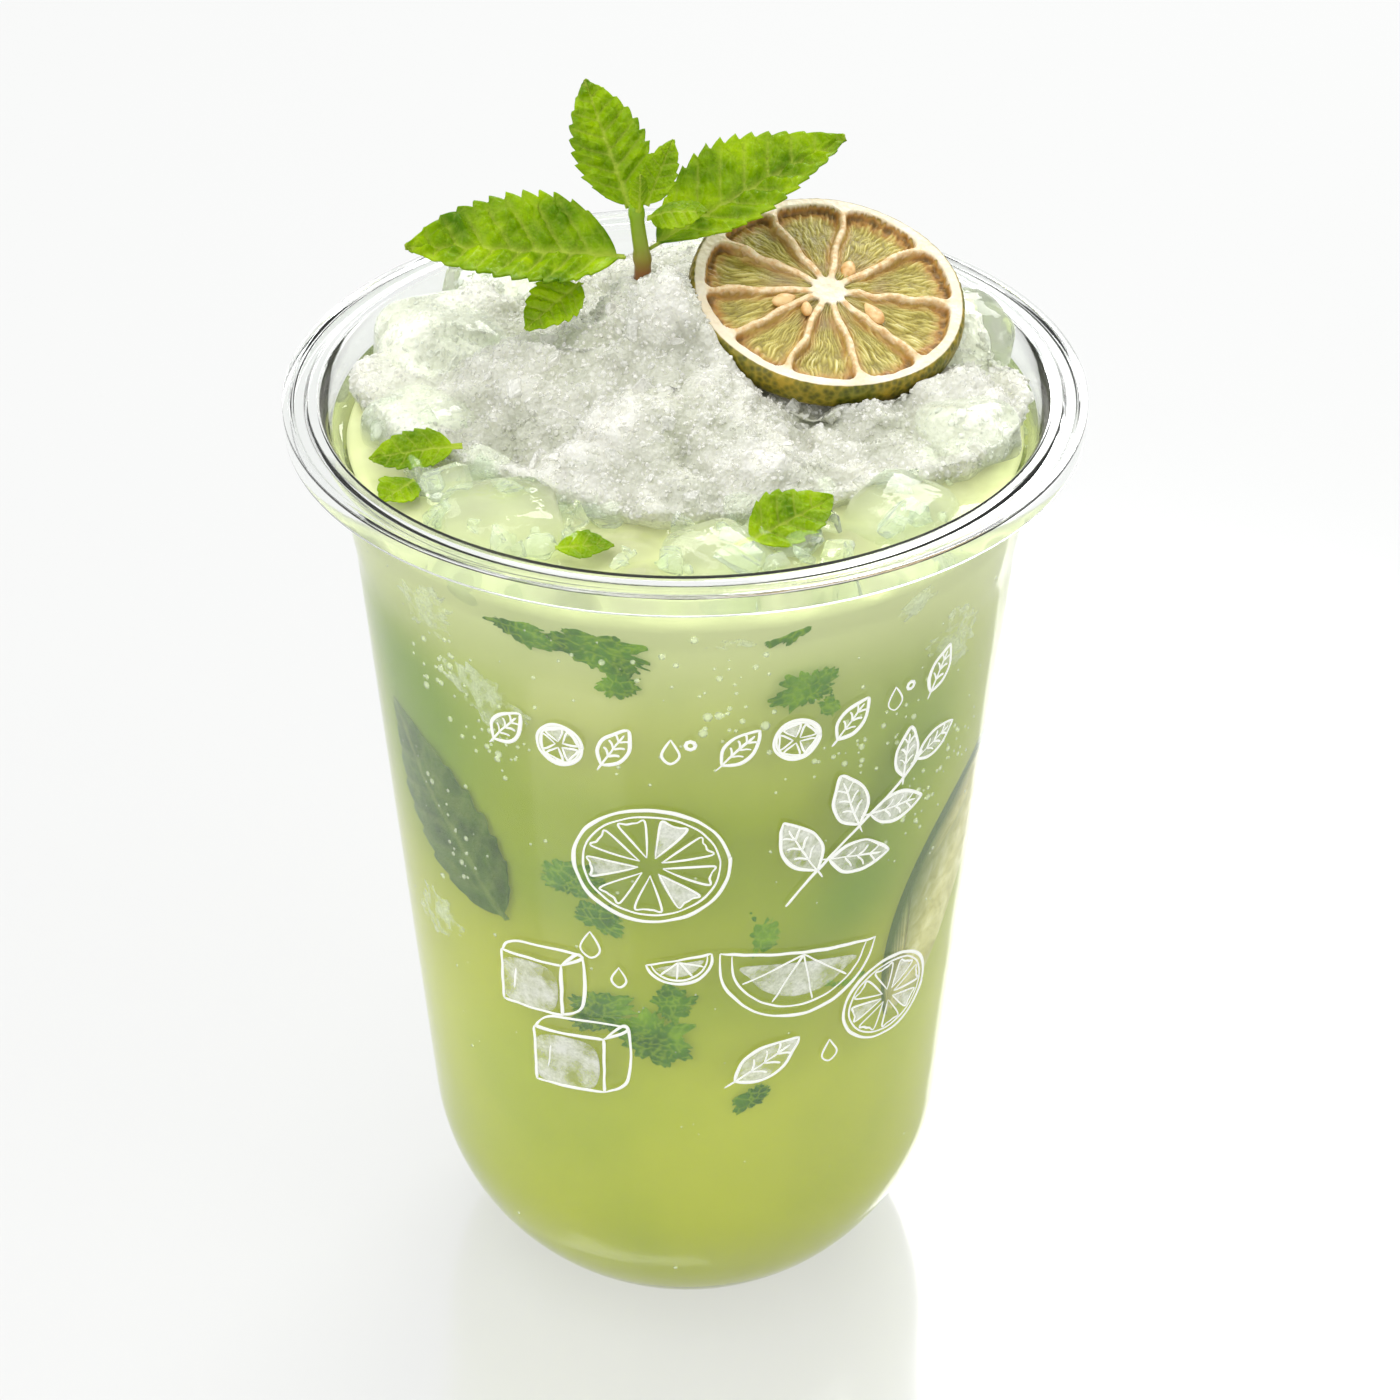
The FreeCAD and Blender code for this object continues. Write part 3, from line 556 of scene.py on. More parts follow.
def scatter(bm, shapes, spots, count, sizes, lift, dice):
    for _ in range(count):
        spot, normal = dice.choice(spots)
        size = sizes[0] + (sizes[1] - sizes[0]) * dice.random() ** 2
        stretch = Matrix.Diagonal([size * dice.uniform(0.6, 1.4) for _ in range(3)] + [1])
        raised = Matrix.Translation(spot + normal * size * dice.uniform(-0.25, 0.3 + lift))
        putShape(bm, dice.choice(shapes), raised @ anyTurn(dice) @ stretch)


def keepInCup(bm, gap):
    for vertex in bm.verts:
        limit = wallRadius(min(vertex.co.z, cup["neck"][1]), cup["wall"] + gap)
        radius = math.hypot(vertex.co.x, vertex.co.y)
        if radius > limit:
            vertex.co.x *= limit / radius
            vertex.co.y *= limit / radius


def besideSlice(point):
    # how far a point is from the slice's edge, outwards, and how far it is above its underside
    local = sliceMatrix().inverted() @ point
    return math.hypot(local.x, local.y) - limeSlice["radius"], local.z + limeSlice["thickness"]


def bentCube(dice, size, bend, rounding, segments):
    cube = bmesh.new()
    bmesh.ops.create_cube(cube, size=size)
    for vertex in cube.verts:
        vertex.co += anyPoint(dice, bend) * size
    bmesh.ops.bevel(
        cube, geom=cube.edges, offset=rounding * size, segments=segments, profile=0.5, affect="EDGES",
        material=-1,
    )
    bmesh.ops.recalc_face_normals(cube, faces=cube.faces)
    return meshOf(cube)


def chipShapes(dice):
    return [bentCube(dice, 1.0, ice["chipBend"], ice["chipRounding"], 1) for _ in range(ice["chipKinds"])]


def makeIce():
    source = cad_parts["ice_heap"].data
    bm = bmesh.new()
    bm.from_mesh(source)
    bmesh.ops.remove_doubles(bm, verts=bm.verts, dist=1e-5)
    bmesh.ops.scale(bm, vec=Vector((1 / millimetre,) * 3), verts=bm.verts)
    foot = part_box("ice_heap")[0].z / millimetre
    for vertex in bm.verts:
        if vertex.co.z < foot + 0.3:
            vertex.co.z -= ice["sinkBy"]
    heap = bpy.data.objects.new("roughIce", meshOf(bm))
    scene.collection.objects.link(heap)
    remesh = heap.modifiers.new("remesh", "REMESH")
    remesh.mode = "VOXEL"
    remesh.voxel_size = ice["voxel"]
    shaped = bpy.data.meshes.new_from_object(heap.evaluated_get(bpy.context.evaluated_depsgraph_get()))
    bpy.data.objects.remove(heap)
    bm = bmesh.new()
    bm.from_mesh(shaped)
    for _ in range(3):
        bmesh.ops.smooth_vert(
            bm, verts=bm.verts, factor=0.5, use_axis_x=True, use_axis_y=True, use_axis_z=True
        )
    bm.normal_update()
    hollowShade = bm.verts.layers.float.new("hollowShade")
    moves = []
    for vertex in bm.verts:
        point = vertex.co
        warped = point + noise.noise_vector(point / 4) * 1.6
        clump = 0.46 - noise.voronoi(warped / ice["clump"])[0][0]
        near = noise.voronoi(warped / ice["lump"])[0][0]
        crystal = noise.voronoi(point / ice["crystal"])[0]
        push = ice["clumpRelief"] * clump + ice["lumpRelief"] * (0.45 - near)
        push += ice["crystalRelief"] * (crystal[1] - crystal[0] - 0.3) * 2
        away, above = besideSlice(point)
        if away < 2.5 and above > -3.0:  # the slice lies on the ice and keeps clear of its crystals
            push = min(push, 0.25 * max(away, 0) - 0.2)
        moves.append(vertex.normal * push * (0.5 if point.z < foot + 1.0 else 1.0))
        # painted shade: how deep a point lies between the clumps, which darkens its colour
        vertex[hollowShade] = rampUp(0.36 - 0.2 * push, 0, 1)
    for vertex, move in zip(bm.verts, moves):
        vertex.co += move
    keepInCup(bm, 0.3)
    bm.normal_update()
    spots = []
    for vertex in bm.verts:
        away, above = besideSlice(vertex.co)
        if vertex.co.z > foot - 0.6 and vertex.normal.z > -0.3 and (away > 0.7 or above < -0.6):
            spots.append((vertex.co.copy(), vertex.normal.copy()))
    snow = iceMaterial("packedCrushedIce", "#E6E4DD", 0.0, 0.34, 0.55)
    finishPiece("crushed_ice", bm, snow, ["ice_heap"], outward=False)

    dice = random.Random(11)
    glint = iceMaterial("iceGrain", "#F7F6F2", 0.35, 0.14, 0.0)
    grain = bmesh.new()
    bmesh.ops.create_icosphere(grain, subdivisions=1, radius=1.0)
    grains = bmesh.new()
    scatter(grains, [meshOf(grain)], spots, ice["grains"], ice["grainSize"], 0.1, dice)
    finishPiece("ice_grains", grains, glint, outward=False, sharp=20)
    chips = bmesh.new()
    scatter(chips, chipShapes(dice), spots, ice["chips"], ice["chipSize"], 0.0, dice)
    finishPiece("ice_chips", chips, glint, outward=False, sharp=20)
    return dice


iceDice = makeIce()

# Clear cubes that float half sunk round the heap: x, y, centre above the level, size, turn.

cubes = {
    "rounding": 0.3,
    "bend": 0.07,
    "flatten": 0.8,
    "lean": 14,
    "melt": 0.36,
    "places": [
        (-29.5, 13.0, 1.6, 15.0, 20), (-31.5, -2.5, -1.4, 12.5, 48), (-20.5, -25.5, -2.0, 13.5, 12),
        (33.0, -7.0, 1.5, 10.5, 30), (24.0, -22.5, -2.2, 12.0, 65), (4.0, -31.5, -2.8, 11.0, 40),
        (-24.0, 27.0, 3.0, 12.0, 75), (33.5, 15.0, 2.6, 12.0, 15), (2.0, 33.0, 1.0, 12.0, 25),
    ],
}


def makeCubes():
    dice = random.Random(5)
    bm = bmesh.new()
    for x, y, rise, across, turn in cubes["places"]:
        cube = bentCube(dice, across, cubes["bend"], cubes["rounding"], 5)
        lean = Matrix.Rotation(math.radians(dice.uniform(-cubes["lean"], cubes["lean"])), 4, "X")
        spin = Matrix.Rotation(math.radians(turn), 4, "Z")
        middle = Matrix.Translation((x, y, drink["level"] + rise))
        putShape(bm, cube, middle @ spin @ lean @ Matrix.Diagonal((1, 1, cubes["flatten"], 1)))
    bm.normal_update()
    for vertex in bm.verts:
        vertex.co += vertex.normal * cubes["melt"] * noise.noise(vertex.co / 5)
    keepInCup(bm, 0.15)
    # Clear ice cubes, melted smooth: lens-like, seen mostly by their edges and the light they bend.
    material, tree = newMaterial("clearMeltingIce")
    spot = addNode(tree, "TexCoord").outputs["Object"]
    swirl = addNode(tree, "TexNoise", {"Vector": spot, "Scale": perMillimetre(6), "Detail": 3.0})
    melt = addNode(tree, "Bump", {"Height": swirl.outputs[0], "Distance": 0.0012, "Strength": 0.5})
    body = addNode(tree, "BsdfPrincipled", {
        "Base Color": linear("#F6FAF2"), "Roughness": 0.05, "IOR": 1.31, "Transmission Weight": 0.88,
        "Normal": melt.outputs[0],
    })
    show(tree, letLampsThrough(tree, body.outputs[0], "#F2F6EE"))
    finishPiece("ice_cubes", bm, material)
    return material


def makeSlush(material):
    # broken bits of the same clear ice, loose on the drink between the heap and the wall
    spots = []
    for _ in range(900):
        turn, radius = math.radians(iceDice.uniform(-180, 180)), iceDice.uniform(*ice["adriftRadius"])
        spots.append((polar(radius, turn, drink["level"] - 0.2), Vector((0, 0, 1))))
    bm = bmesh.new()
    scatter(bm, chipShapes(iceDice), spots, ice["adrift"], ice["adriftSize"], 0.0, iceDice)
    keepInCup(bm, 0.2)
    finishPiece("ice_adrift", bm, material, outward=False, sharp=30)


makeSlush(makeCubes())

# The dried lime slice: one closed skin, pushed and pulled into rind, pith, membranes and juice sacs.


def membraneAt(angle, radius):
    # distance to the nearest membrane's wandering middle line, its index and half width there
    best = (99.0, 0, 1.0)
    for index, middle in enumerate(limeSlice["membranes"]):
        wander = limeSlice["membraneWander"] * noise.noise(Vector((radius / 3.6, index * 7.3, 0.5)))
        away = abs((angle - middle - wander + 180) % 360 - 180)
        distance = math.radians(away) * radius
        half = limeSlice["membraneWidth"] * (1 + 0.5 * noise.noise(Vector((index, radius / 2.2, 3))))
        best = min(best, (distance, index, half))
    return best


def insetFrom(first, second, rounding):
    # how far inside two edges a point is, when their corner is rounded
    if first < rounding and second < rounding:
        return rounding - math.hypot(rounding - first, rounding - second)
    return min(first, second)


def faceRelief(x, y, radius, angle):
    # height above the pith of a point on a cut face, and its masks: flesh, ridge, brown stain with painted shade, and
    # dry
    turn = math.radians(angle)
    edge = limeSlice["radius"] - limeSlice["rind"] - limeSlice["pith"]
    edge += 0.4 * noise.noise(polar(4, turn, 1))
    distance, index, half = membraneAt(angle, radius)
    inward = insetFrom(edge - radius, distance - half, limeSlice["fieldRounding"])
    inward = insetFrom(inward, radius - limeSlice["core"], 0.6)
    field = rampUp(inward, 0.0, 0.42)
    swirl = 0.9 * noise.noise(Vector((x / 2.6, y / 2.6, 3)))
    sacPoint = Vector((radius / limeSlice["sacLength"], (turn * 14 + swirl) / limeSlice["sacWidth"], 4.0))
    nearest, cells = noise.voronoi(sacPoint)
    sac = rampUp(nearest[1] - nearest[0], 0.0, 0.5)
    tone = 0.5 + 0.9 * noise.noise(cells[0] * 5.3)
    depth = limeSlice["fleshDepth"] * (0.35 + 0.65 * rampUp(radius, 3.0, 13.0))
    depth += 0.3 * noise.noise(Vector((x / 3.4, y / 3.4, 8)))
    height = -field * (depth - limeSlice["sacRelief"] * sac * (0.5 + tone))
    within = rampUp(edge - radius, 0.0, 1.2) * rampUp(radius - limeSlice["core"], 0.0, 1.0)
    ridge = within * (1 - rampUp(inward, 0.0, 0.3)) * rampUp(half + 1.2 - distance, 0.0, 0.6)
    curl = noise.noise(Vector((radius / 2.4, index * 5.1, 9)))
    height += ridge * limeSlice["membraneRise"] * (0.5 + curl)
    height += (1 - field) * 0.05 * noise.noise(Vector((x, y, 2)))
    # brown stain with painted shade: darker along the sunk field's walls beside the membranes and at its outer end,
    # where they fall in shade
    side = field * math.exp(-((distance - half) / 0.85) ** 2) * rampUp(radius, 2.5, 5.0)
    rim = field * math.exp(-(((edge - radius) / 1.5) ** 2))
    rim *= 0.8 + 0.7 * noise.noise(Vector((x / 0.8, y / 0.8, 5)))
    dry = field * math.exp(-(((radius - 5.2) / 2.6) ** 2))
    dry *= rampUp(noise.noise(Vector((x / 3, y / 3, 6))), -0.25, 0.4)
    flesh = field * (0.15 + 0.85 * sac * rampUp(tone, -0.3, 1.1))
    return height, flesh, ridge, min(0.5 * side + rim, 1), dry


limeMasks = ("flesh", "ridge", "stain", "dry", "rind")


def makeSlice():
    around, rings, sides = limeSlice["around"], limeSlice["rings"], limeSlice["sideRings"]
    under = limeSlice["underRings"]
    stations = rings + sides + under
    bm = bmesh.new()
    bmesh.ops.create_grid(bm, x_segments=around, y_segments=stations, size=0.5)
    flesh, ridge, stain, dry, rind = (bm.verts.layers.float.new(mask) for mask in limeMasks)
    radius, thick, corner = limeSlice["radius"], limeSlice["thickness"], limeSlice["corner"]
    for vertex in bm.verts:
        angle = (vertex.co.x + 0.5) * 360
        station = (vertex.co.y + 0.5) * stations
        turn = math.radians(angle)
        wobble = 1 + 0.008 * noise.noise(polar(1.6, turn, 7))
        if station <= rings or station >= rings + sides:
            upper = station <= rings
            outwards = station / rings if upper else (stations - station) / under
            along = (radius - corner) * outwards * wobble
            x, y = along * math.cos(turn), along * math.sin(turn)
            height, *masks = faceRelief(x, y, along, angle)
            z = height if upper else -thick - height
            vertex[flesh], vertex[ridge], vertex[stain], vertex[dry] = masks
            vertex[rind] = rampUp(along - radius + limeSlice["rind"] + corner, 0.25, 0.55)
        else:
            downwards = (station - rings) / sides
            bulge = math.sin(math.pi * downwards)
            along = (radius - corner + corner * bulge**0.5) * wobble
            along += 0.1 * noise.noise(polar(22, turn, downwards * 2))
            x, y, z = along * math.cos(turn), along * math.sin(turn), -thick * downwards
            vertex[rind] = 1.0
        warp = 0.5 * noise.noise(Vector((x / 14, y / 14, 11))) + 0.012 * x
        vertex.co = Vector((x, y, z + warp))
    bmesh.ops.remove_doubles(bm, verts=bm.verts, dist=1e-4)
    bmesh.ops.transform(bm, matrix=sliceMatrix(), verts=bm.verts)
    # Lime, sliced and dried: olive juice sacs sunk between curled tan membranes, cream pith and a
    # dark rind.
    material, tree = newMaterial("driedLime")
    place = addNode(tree, "TexCoord").outputs["Object"]
    masks = {mask: addNode(tree, "Attribute", attribute_name=mask).outputs["Fac"] for mask in limeMasks}
    soft = addNode(tree, "TexNoise", {"Vector": place, "Scale": perMillimetre(3.6), "Detail": 4.0})
    fine = addNode(tree, "TexNoise", {"Vector": place, "Scale": perMillimetre(0.7), "Detail": 3.0})
    sacs = addNode(tree, "ValToRGB", {0: masks["flesh"]}, stops=[
        (0.1, "#6E6022"), (0.22, "#9A8E42"), (0.45, "#C2B86C"), (0.7, "#DED498"), (1.0, "#F6ECC6"),
    ])
    tint = addNode(tree, "ValToRGB", {0: soft.outputs[0]}, stops=[
        (0.32, "#A8A050"), (0.5, "#CBC280"), (0.68, "#E4D6A8"),
    ])
    pulp = addNode(tree, "Mix", data_type="RGBA", blend_type="OVERLAY", inputs={
        0: 0.35, 6: sacs.outputs[0], 7: tint.outputs[0],
    })
    dried = addNode(tree, "Mix", data_type="RGBA", inputs={
        0: addNode(tree, "Math", operation="MULTIPLY", inputs={0: masks["dry"], 1: 0.6}).outputs[0],
        6: pulp.outputs[2], 7: linear("#A2876E"),
    })
    pith = addNode(tree, "ValToRGB", {0: soft.outputs[0]}, stops=[(0.3, "#E9D6B4"), (0.7, "#F6EBD6")])
    fleshShare = addNode(tree, "MapRange", {0: masks["flesh"], 1: 0.02, 2: 0.14})
    base = addNode(tree, "Mix", data_type="RGBA", inputs={
        0: fleshShare.outputs[0], 6: pith.outputs[0], 7: dried.outputs[2],
    })
    skin = addNode(tree, "ValToRGB", {0: fine.outputs[0]}, stops=[
        (0.3, "#D9A867"), (0.5, "#EBCB98"), (0.7, "#F6E4C2"),
    ])
    veined = addNode(tree, "Mix", data_type="RGBA", inputs={
        0: addNode(tree, "MapRange", {0: masks["ridge"], 1: 0.1, 2: 0.7, 4: 0.9}).outputs[0],
        6: base.outputs[2], 7: skin.outputs[0],
    })
    # brown stain with painted shade on the walls of the sunk fields
    browningAndShade = addNode(tree, "ValToRGB", {0: masks["stain"]}, stops=[
        (0.0, "#D8AC6C"), (0.45, "#C08A48"), (0.7, "#8A5E2A"), (1.0, "#64401A"),
    ])
    stainedAndShaded = addNode(tree, "Mix", data_type="RGBA", inputs={
        0: addNode(tree, "MapRange", {0: masks["stain"], 1: 0.05, 2: 0.5, 4: 0.85}).outputs[0],
        6: veined.outputs[2], 7: browningAndShade.outputs[0],
    })
    glands = addNode(tree, "TexVoronoi", {"Vector": place, "Scale": perMillimetre(0.75)})
    peel = addNode(tree, "ValToRGB", {0: glands.outputs["Distance"]}, stops=[
        (0.15, "#66660E"), (0.45, "#8A861A"), (0.75, "#AEA034"),
    ])
    ripeness = addNode(tree, "ValToRGB", {0: soft.outputs[0]}, stops=[(0.35, "#5C6A14"), (0.65, "#B89A34")])
    peelTone = addNode(tree, "Mix", data_type="RGBA", blend_type="OVERLAY", inputs={
        0: 0.6, 6: peel.outputs[0], 7: ripeness.outputs[0],
    })
    whole = addNode(tree, "Mix", data_type="RGBA", inputs={
        0: masks["rind"], 6: stainedAndShaded.outputs[2], 7: peelTone.outputs[2],
    })
    pores = addNode(tree, "Bump", {
        "Height": glands.outputs["Distance"], "Distance": 0.0002, "Strength": 0.5,
    })
    crinkle = addNode(tree, "Bump", {
        "Height": fine.outputs[0], "Distance": 0.00025, "Strength": 0.6, "Normal": pores.outputs[0],
    })
    body = addNode(tree, "BsdfPrincipled", {
        "Base Color": whole.outputs[2], "Roughness": 0.48, "Subsurface Weight": 0.12,
        "Subsurface Radius": (1.0, 0.8, 0.4), "Subsurface Scale": 0.0012, "Normal": crinkle.outputs[0],
    })
    show(tree, body.outputs[0])
    finishPiece("dried_lime_slice", bm, material, ["lime_slice"])
    makeSeeds()


def makeSeeds():
    bm = bmesh.new()
    for radius, angle, length, twist in limeSlice["seeds"]:
        made = bmesh.ops.create_uvsphere(bm, u_segments=20, v_segments=14, radius=0.5)["verts"]
        for vertex in made:
            narrow = 1 - 0.9 * max(vertex.co.x, 0)
            x, y, z = vertex.co
            vertex.co = Vector((x * length, y * length * 0.56 * narrow, z * 1.1 * narrow))
            vertex.co.z += 0.12 * noise.noise(vertex.co)
        turn = math.radians(angle)
        middle = Matrix.Translation(polar(radius, turn, -0.2))
        aim = Matrix.Rotation(turn + math.radians(180 + twist), 4, "Z")
        bmesh.ops.transform(bm, matrix=sliceMatrix() @ middle @ aim, verts=made)
    # Dried pips: smooth, waxy and tan, streaked along their length.
    material, tree = newMaterial("driedPip")
    place = addNode(tree, "TexCoord").outputs["Object"]
    streak = addNode(tree, "TexNoise", {"Vector": place, "Scale": perMillimetre(1.6), "Detail": 3.0})
    tone = addNode(tree, "ValToRGB", {0: streak.outputs[0]}, stops=[(0.35, "#C9924A"), (0.6, "#EDC98E")])
    body = addNode(tree, "BsdfPrincipled", {
        "Base Color": tone.outputs[0], "Roughness": 0.4, "Subsurface Weight": 0.1,
        "Subsurface Scale": 0.001,
    })
    show(tree, body.outputs[0])
    finishPiece("lime_pips", bm, material)


makeSlice()

# Mint: every leaf is laid out as the CAD leaves are, with finer teeth, veins and quilting.

stem = {
    "x": -5.8,
    "y": 12.0,
    "foot": 127.0,
    "height": 15.5,
    "footRadius": 1.1,
    "topRadius": 0.75,
    "kink": 0.35,
    "steps": 26,
    "joints": (14, 23),  # the steps where leaves grow from it
    "jointSwell": 1.16,
}
leafShape = {
    "stalkHalfWidth": 0.35,
    "baseShape": 0.74,
    "tipShape": 1.0,
    "gap": 0.5,
    "toothShare": 0.17,
    "toothLean": 0.55,
    "thickness": 0.26,
    "veinAngle": 0.525,
    "quilt": 0.8,
    "stations": 132,
    "across": 56,
}
sprigLeaves = {  # up the stem, length, width, heading, climb, roll, fold, droop, stalk, teeth, veins
    "left": (8.8, 26.2, 13.8, -170, 10, -28, 26, 1.6, 0.04, 13, 8),
    "right": (9.4, 28.0, 13.0, 25, 22, 20, 30, 1.6, 0.05, 14, 8),
    "top": (14.4, 16.0, 9.2, 126, 57, -20, 16, 1.0, 0.04, 10, 7),
    "side": (14.8, 8.4, 4.4, 40, 60, 46, 24, 0.3, 0.05, 7, 5),
    "curl": (14.0, 7.8, 4.8, -28, 30, 24, -14, 2.2, 0.08, 6, 5),
    "bud": (15.0, 5.4, 2.6, -75, 76, 10, 30, -0.4, 0.1, 4, 4),
}
looseLeaves = {  # start, then as above from length on
    "low": ((-12.4, 8.2, 134.1), 9.6, 6.4, -133, -14, -20, 12, 0.6, 0.06, 7, 5),
    "float_left": ((-25.8, -11.2, 122.8), 10.8, 5.6, -168, 2, -26, 10, 1.2, 0.12, 7, 5),
    "float_edge": ((-31.0, -16.4, 121.35), 5.6, 5.2, -130, -3, -6, 7, 0.2, 0.05, 5, 4),
    "float_right": ((5.6, -31.2, 121.0), 13.6, 7.6, 32, 13, 20, 12, 0.9, 0.17, 7, 5),
    "float_front": ((-14.4, -31.0, 121.0), 6.6, 4.6, 4, 3, 6, 8, 0.2, 0.05, 5, 4),
}


def startOnStem(up, heading):
    turn = math.radians(heading)
    radius = stem["footRadius"] + (stem["topRadius"] - stem["footRadius"]) * up / stem["height"]
    reach = radius / max(abs(math.cos(turn)), abs(math.sin(turn))) + leafShape["gap"]
    return Vector((stem["x"], stem["y"], stem["foot"] + up)) + polar(reach, turn, 0)


def halfWidth(share, width, stalk, teeth):
    # half the leaf's width there, and how far a tooth leans on towards the tip
    thin = leafShape["stalkHalfWidth"]
    if share <= stalk:
        return thin, 0.0
    blade = (share - stalk) / (1 - stalk)
    thin *= 1 - 0.9 * blade**5
    base, tip = leafShape["baseShape"], leafShape["tipShape"]
    peak = (base / (base + tip)) ** base * (tip / (base + tip)) ** tip
    swell = thin + (width / 2 - thin) * blade**base * max(1 - blade, 0.0) ** tip / peak
    ripple = (blade * teeth) % 1
    tooth = ripple**0.8 if ripple < 0.85 else (1 - ripple) / 0.15
    size = leafShape["toothShare"] * math.sin(math.pi * min(blade * 1.02, 1)) ** 0.6
    return swell * (1 - size * 0.45 + size * tooth), tooth * size


def makeLeaf(name, start, length, width, heading, climb, roll, fold, droop, stalk, teeth, veins):
    turn, rise, bank, vee = (math.radians(a) for a in (heading, climb, roll, fold))
    along = Vector((math.cos(turn) * math.cos(rise), math.sin(turn) * math.cos(rise), math.sin(rise)))
    level = Vector((-math.sin(turn), math.cos(turn), 0))
    over = along.cross(level)
    side = level * math.cos(bank) + over * math.sin(bank)
    normal = over * math.cos(bank) - level * math.sin(bank)
    start = Vector(start)
    seed = sum(map(ord, name))
    dice = Vector((seed % 17, seed % 11, seed % 7)) * 3.1
    detail = min(1.0, 0.35 + length / 26)
    bm = bmesh.new()
    bmesh.ops.create_grid(
        bm, x_segments=round(leafShape["stations"] * detail),
        y_segments=round(leafShape["across"] * detail), size=0.5,
    )
    vein = bm.verts.layers.float.new("vein")
    scale = width / 13.0
    for vertex in bm.verts:
        share, across = vertex.co.x + 0.5, vertex.co.y * 2
        half, lean = halfWidth(share, width, stalk, teeth)
        blade = max((share - stalk) / (1 - stalk), 0.0)
        away = abs(across) * half
        forward = lean * abs(across) ** 3 * leafShape["toothLean"] * width * 0.25 / length
        # side veins leave the midrib and bend on towards the tip
        phase = blade - leafShape["veinAngle"] * away / length - 0.06 * across**2 * (1 - blade)
        phase = phase * veins + (0.3 if across > 0 else 0)
        ribGap = abs(phase - round(phase)) / veins * length
        sideVein = math.exp(-((ribGap / (0.3 * scale)) ** 2)) * min(blade * 6, 1) * (1 - abs(across) ** 4)
        midrib = math.exp(-((away / (0.42 * scale * (1.3 - share))) ** 2))
        swell = math.cos(math.pi * (phase - round(phase)))
        cell = noise.voronoi(Vector((share * length, across * half, 0)) / (1.5 * scale) + dice)[0]
        quilt = min(cell[1] - cell[0], 0.6)
        relief = leafShape["quilt"] * scale * (0.9 * (1 - swell) - 0.55 * sideVein + 1.1 * quilt - 0.3)
        relief *= min(blade * 5, 1) * (1 - abs(across) ** 5) * (1 - midrib)
        relief -= 0.22 * midrib * scale
        wave = 0.45 * scale * abs(across) ** 2 * math.sin(blade * 9.0 + (2.4 if across > 0 else 0) + seed)
        wave += 0.5 * scale * noise.noise(Vector((share * 3, across, 0)) + dice) * min(blade * 4, 1)
        reach, sideways = share + forward, across * half
        middle = start + along * (length * reach) - normal * (droop * reach * reach)
        bent = vee * (1 - 0.25 * share)
        raised = normal * (abs(sideways) * math.sin(bent) + relief + wave)
        vertex.co = middle + side * (sideways * math.cos(bent)) + raised
        netted = sideVein * 0.75 + midrib + 0.35 * (1 - min(quilt / 0.12, 1))
        vertex[vein] = min(netted, 1.0) if blade > 0 else 1.0
    if (side.cross(along)).dot(normal) > 0:
        bmesh.ops.reverse_faces(bm, faces=bm.faces)
    bm.normal_update()
    bmesh.ops.solidify(bm, geom=bm.faces, thickness=leafShape["thickness"] * max(scale, 0.6))
    finishPiece("mint_" + name, bm, mintBlade, ["mint_leaf_" + name], outward=False)


def mintMaterial(name, dark, mid, light, veinColour, glow=0.0):
    # Fresh mint: thin and lit through, quilted between pale veins, with a satin skin that shines on
    # the bulges.
    material, tree = newMaterial(name)
    place = addNode(tree, "TexCoord").outputs["Object"]
    vein = addNode(tree, "Attribute", attribute_name="vein").outputs["Fac"]
    tone = addNode(tree, "TexNoise", {"Vector": place, "Scale": perMillimetre(5.0), "Detail": 4.0})
    green = addNode(tree, "ValToRGB", {0: tone.outputs[0]}, stops=[(0.3, dark), (0.52, mid), (0.72, light)])
    veined = addNode(tree, "Mix", data_type="RGBA", inputs={
        0: addNode(tree, "Math", operation="MULTIPLY", inputs={0: vein, 1: 0.62}).outputs[0],
        6: green.outputs[0], 7: linear(veinColour),
    })
    cells = addNode(
        tree, "TexVoronoi", {"Vector": place, "Scale": perMillimetre(0.55)}, feature="DISTANCE_TO_EDGE"
    )
    skin = addNode(tree, "Bump", {
        "Height": cells.outputs["Distance"], "Distance": 0.00016, "Strength": 0.7,
    })
    # glow is painted light: the leaf gives off light in its own colour, in place of light reaching it through the
    # drink
    leaf = addNode(tree, "BsdfPrincipled", {
        "Base Color": veined.outputs[2], "Roughness": 0.36, "IOR": 1.45, "Specular IOR Level": 0.24,
        "Emission Color": veined.outputs[2], "Emission Strength": glow, "Normal": skin.outputs[0],
    })
    through = addNode(tree, "BsdfTranslucent", {"Color": veined.outputs[2], "Normal": skin.outputs[0]})
    both = addNode(tree, "MixShader", {0: 0.42, 1: leaf.outputs[0], 2: through.outputs[0]})
    show(tree, both.outputs[0])
    return material


mintBlade = mintMaterial("freshMint", "#649400", "#A2C600", "#CAE600", "#DCE668")

for name, (up, length, width, heading, *rest) in sprigLeaves.items():
    makeLeaf(name, startOnStem(up, heading), length, width, heading, *rest)
for name, (start, *rest) in looseLeaves.items():
    makeLeaf(name, start, *rest)


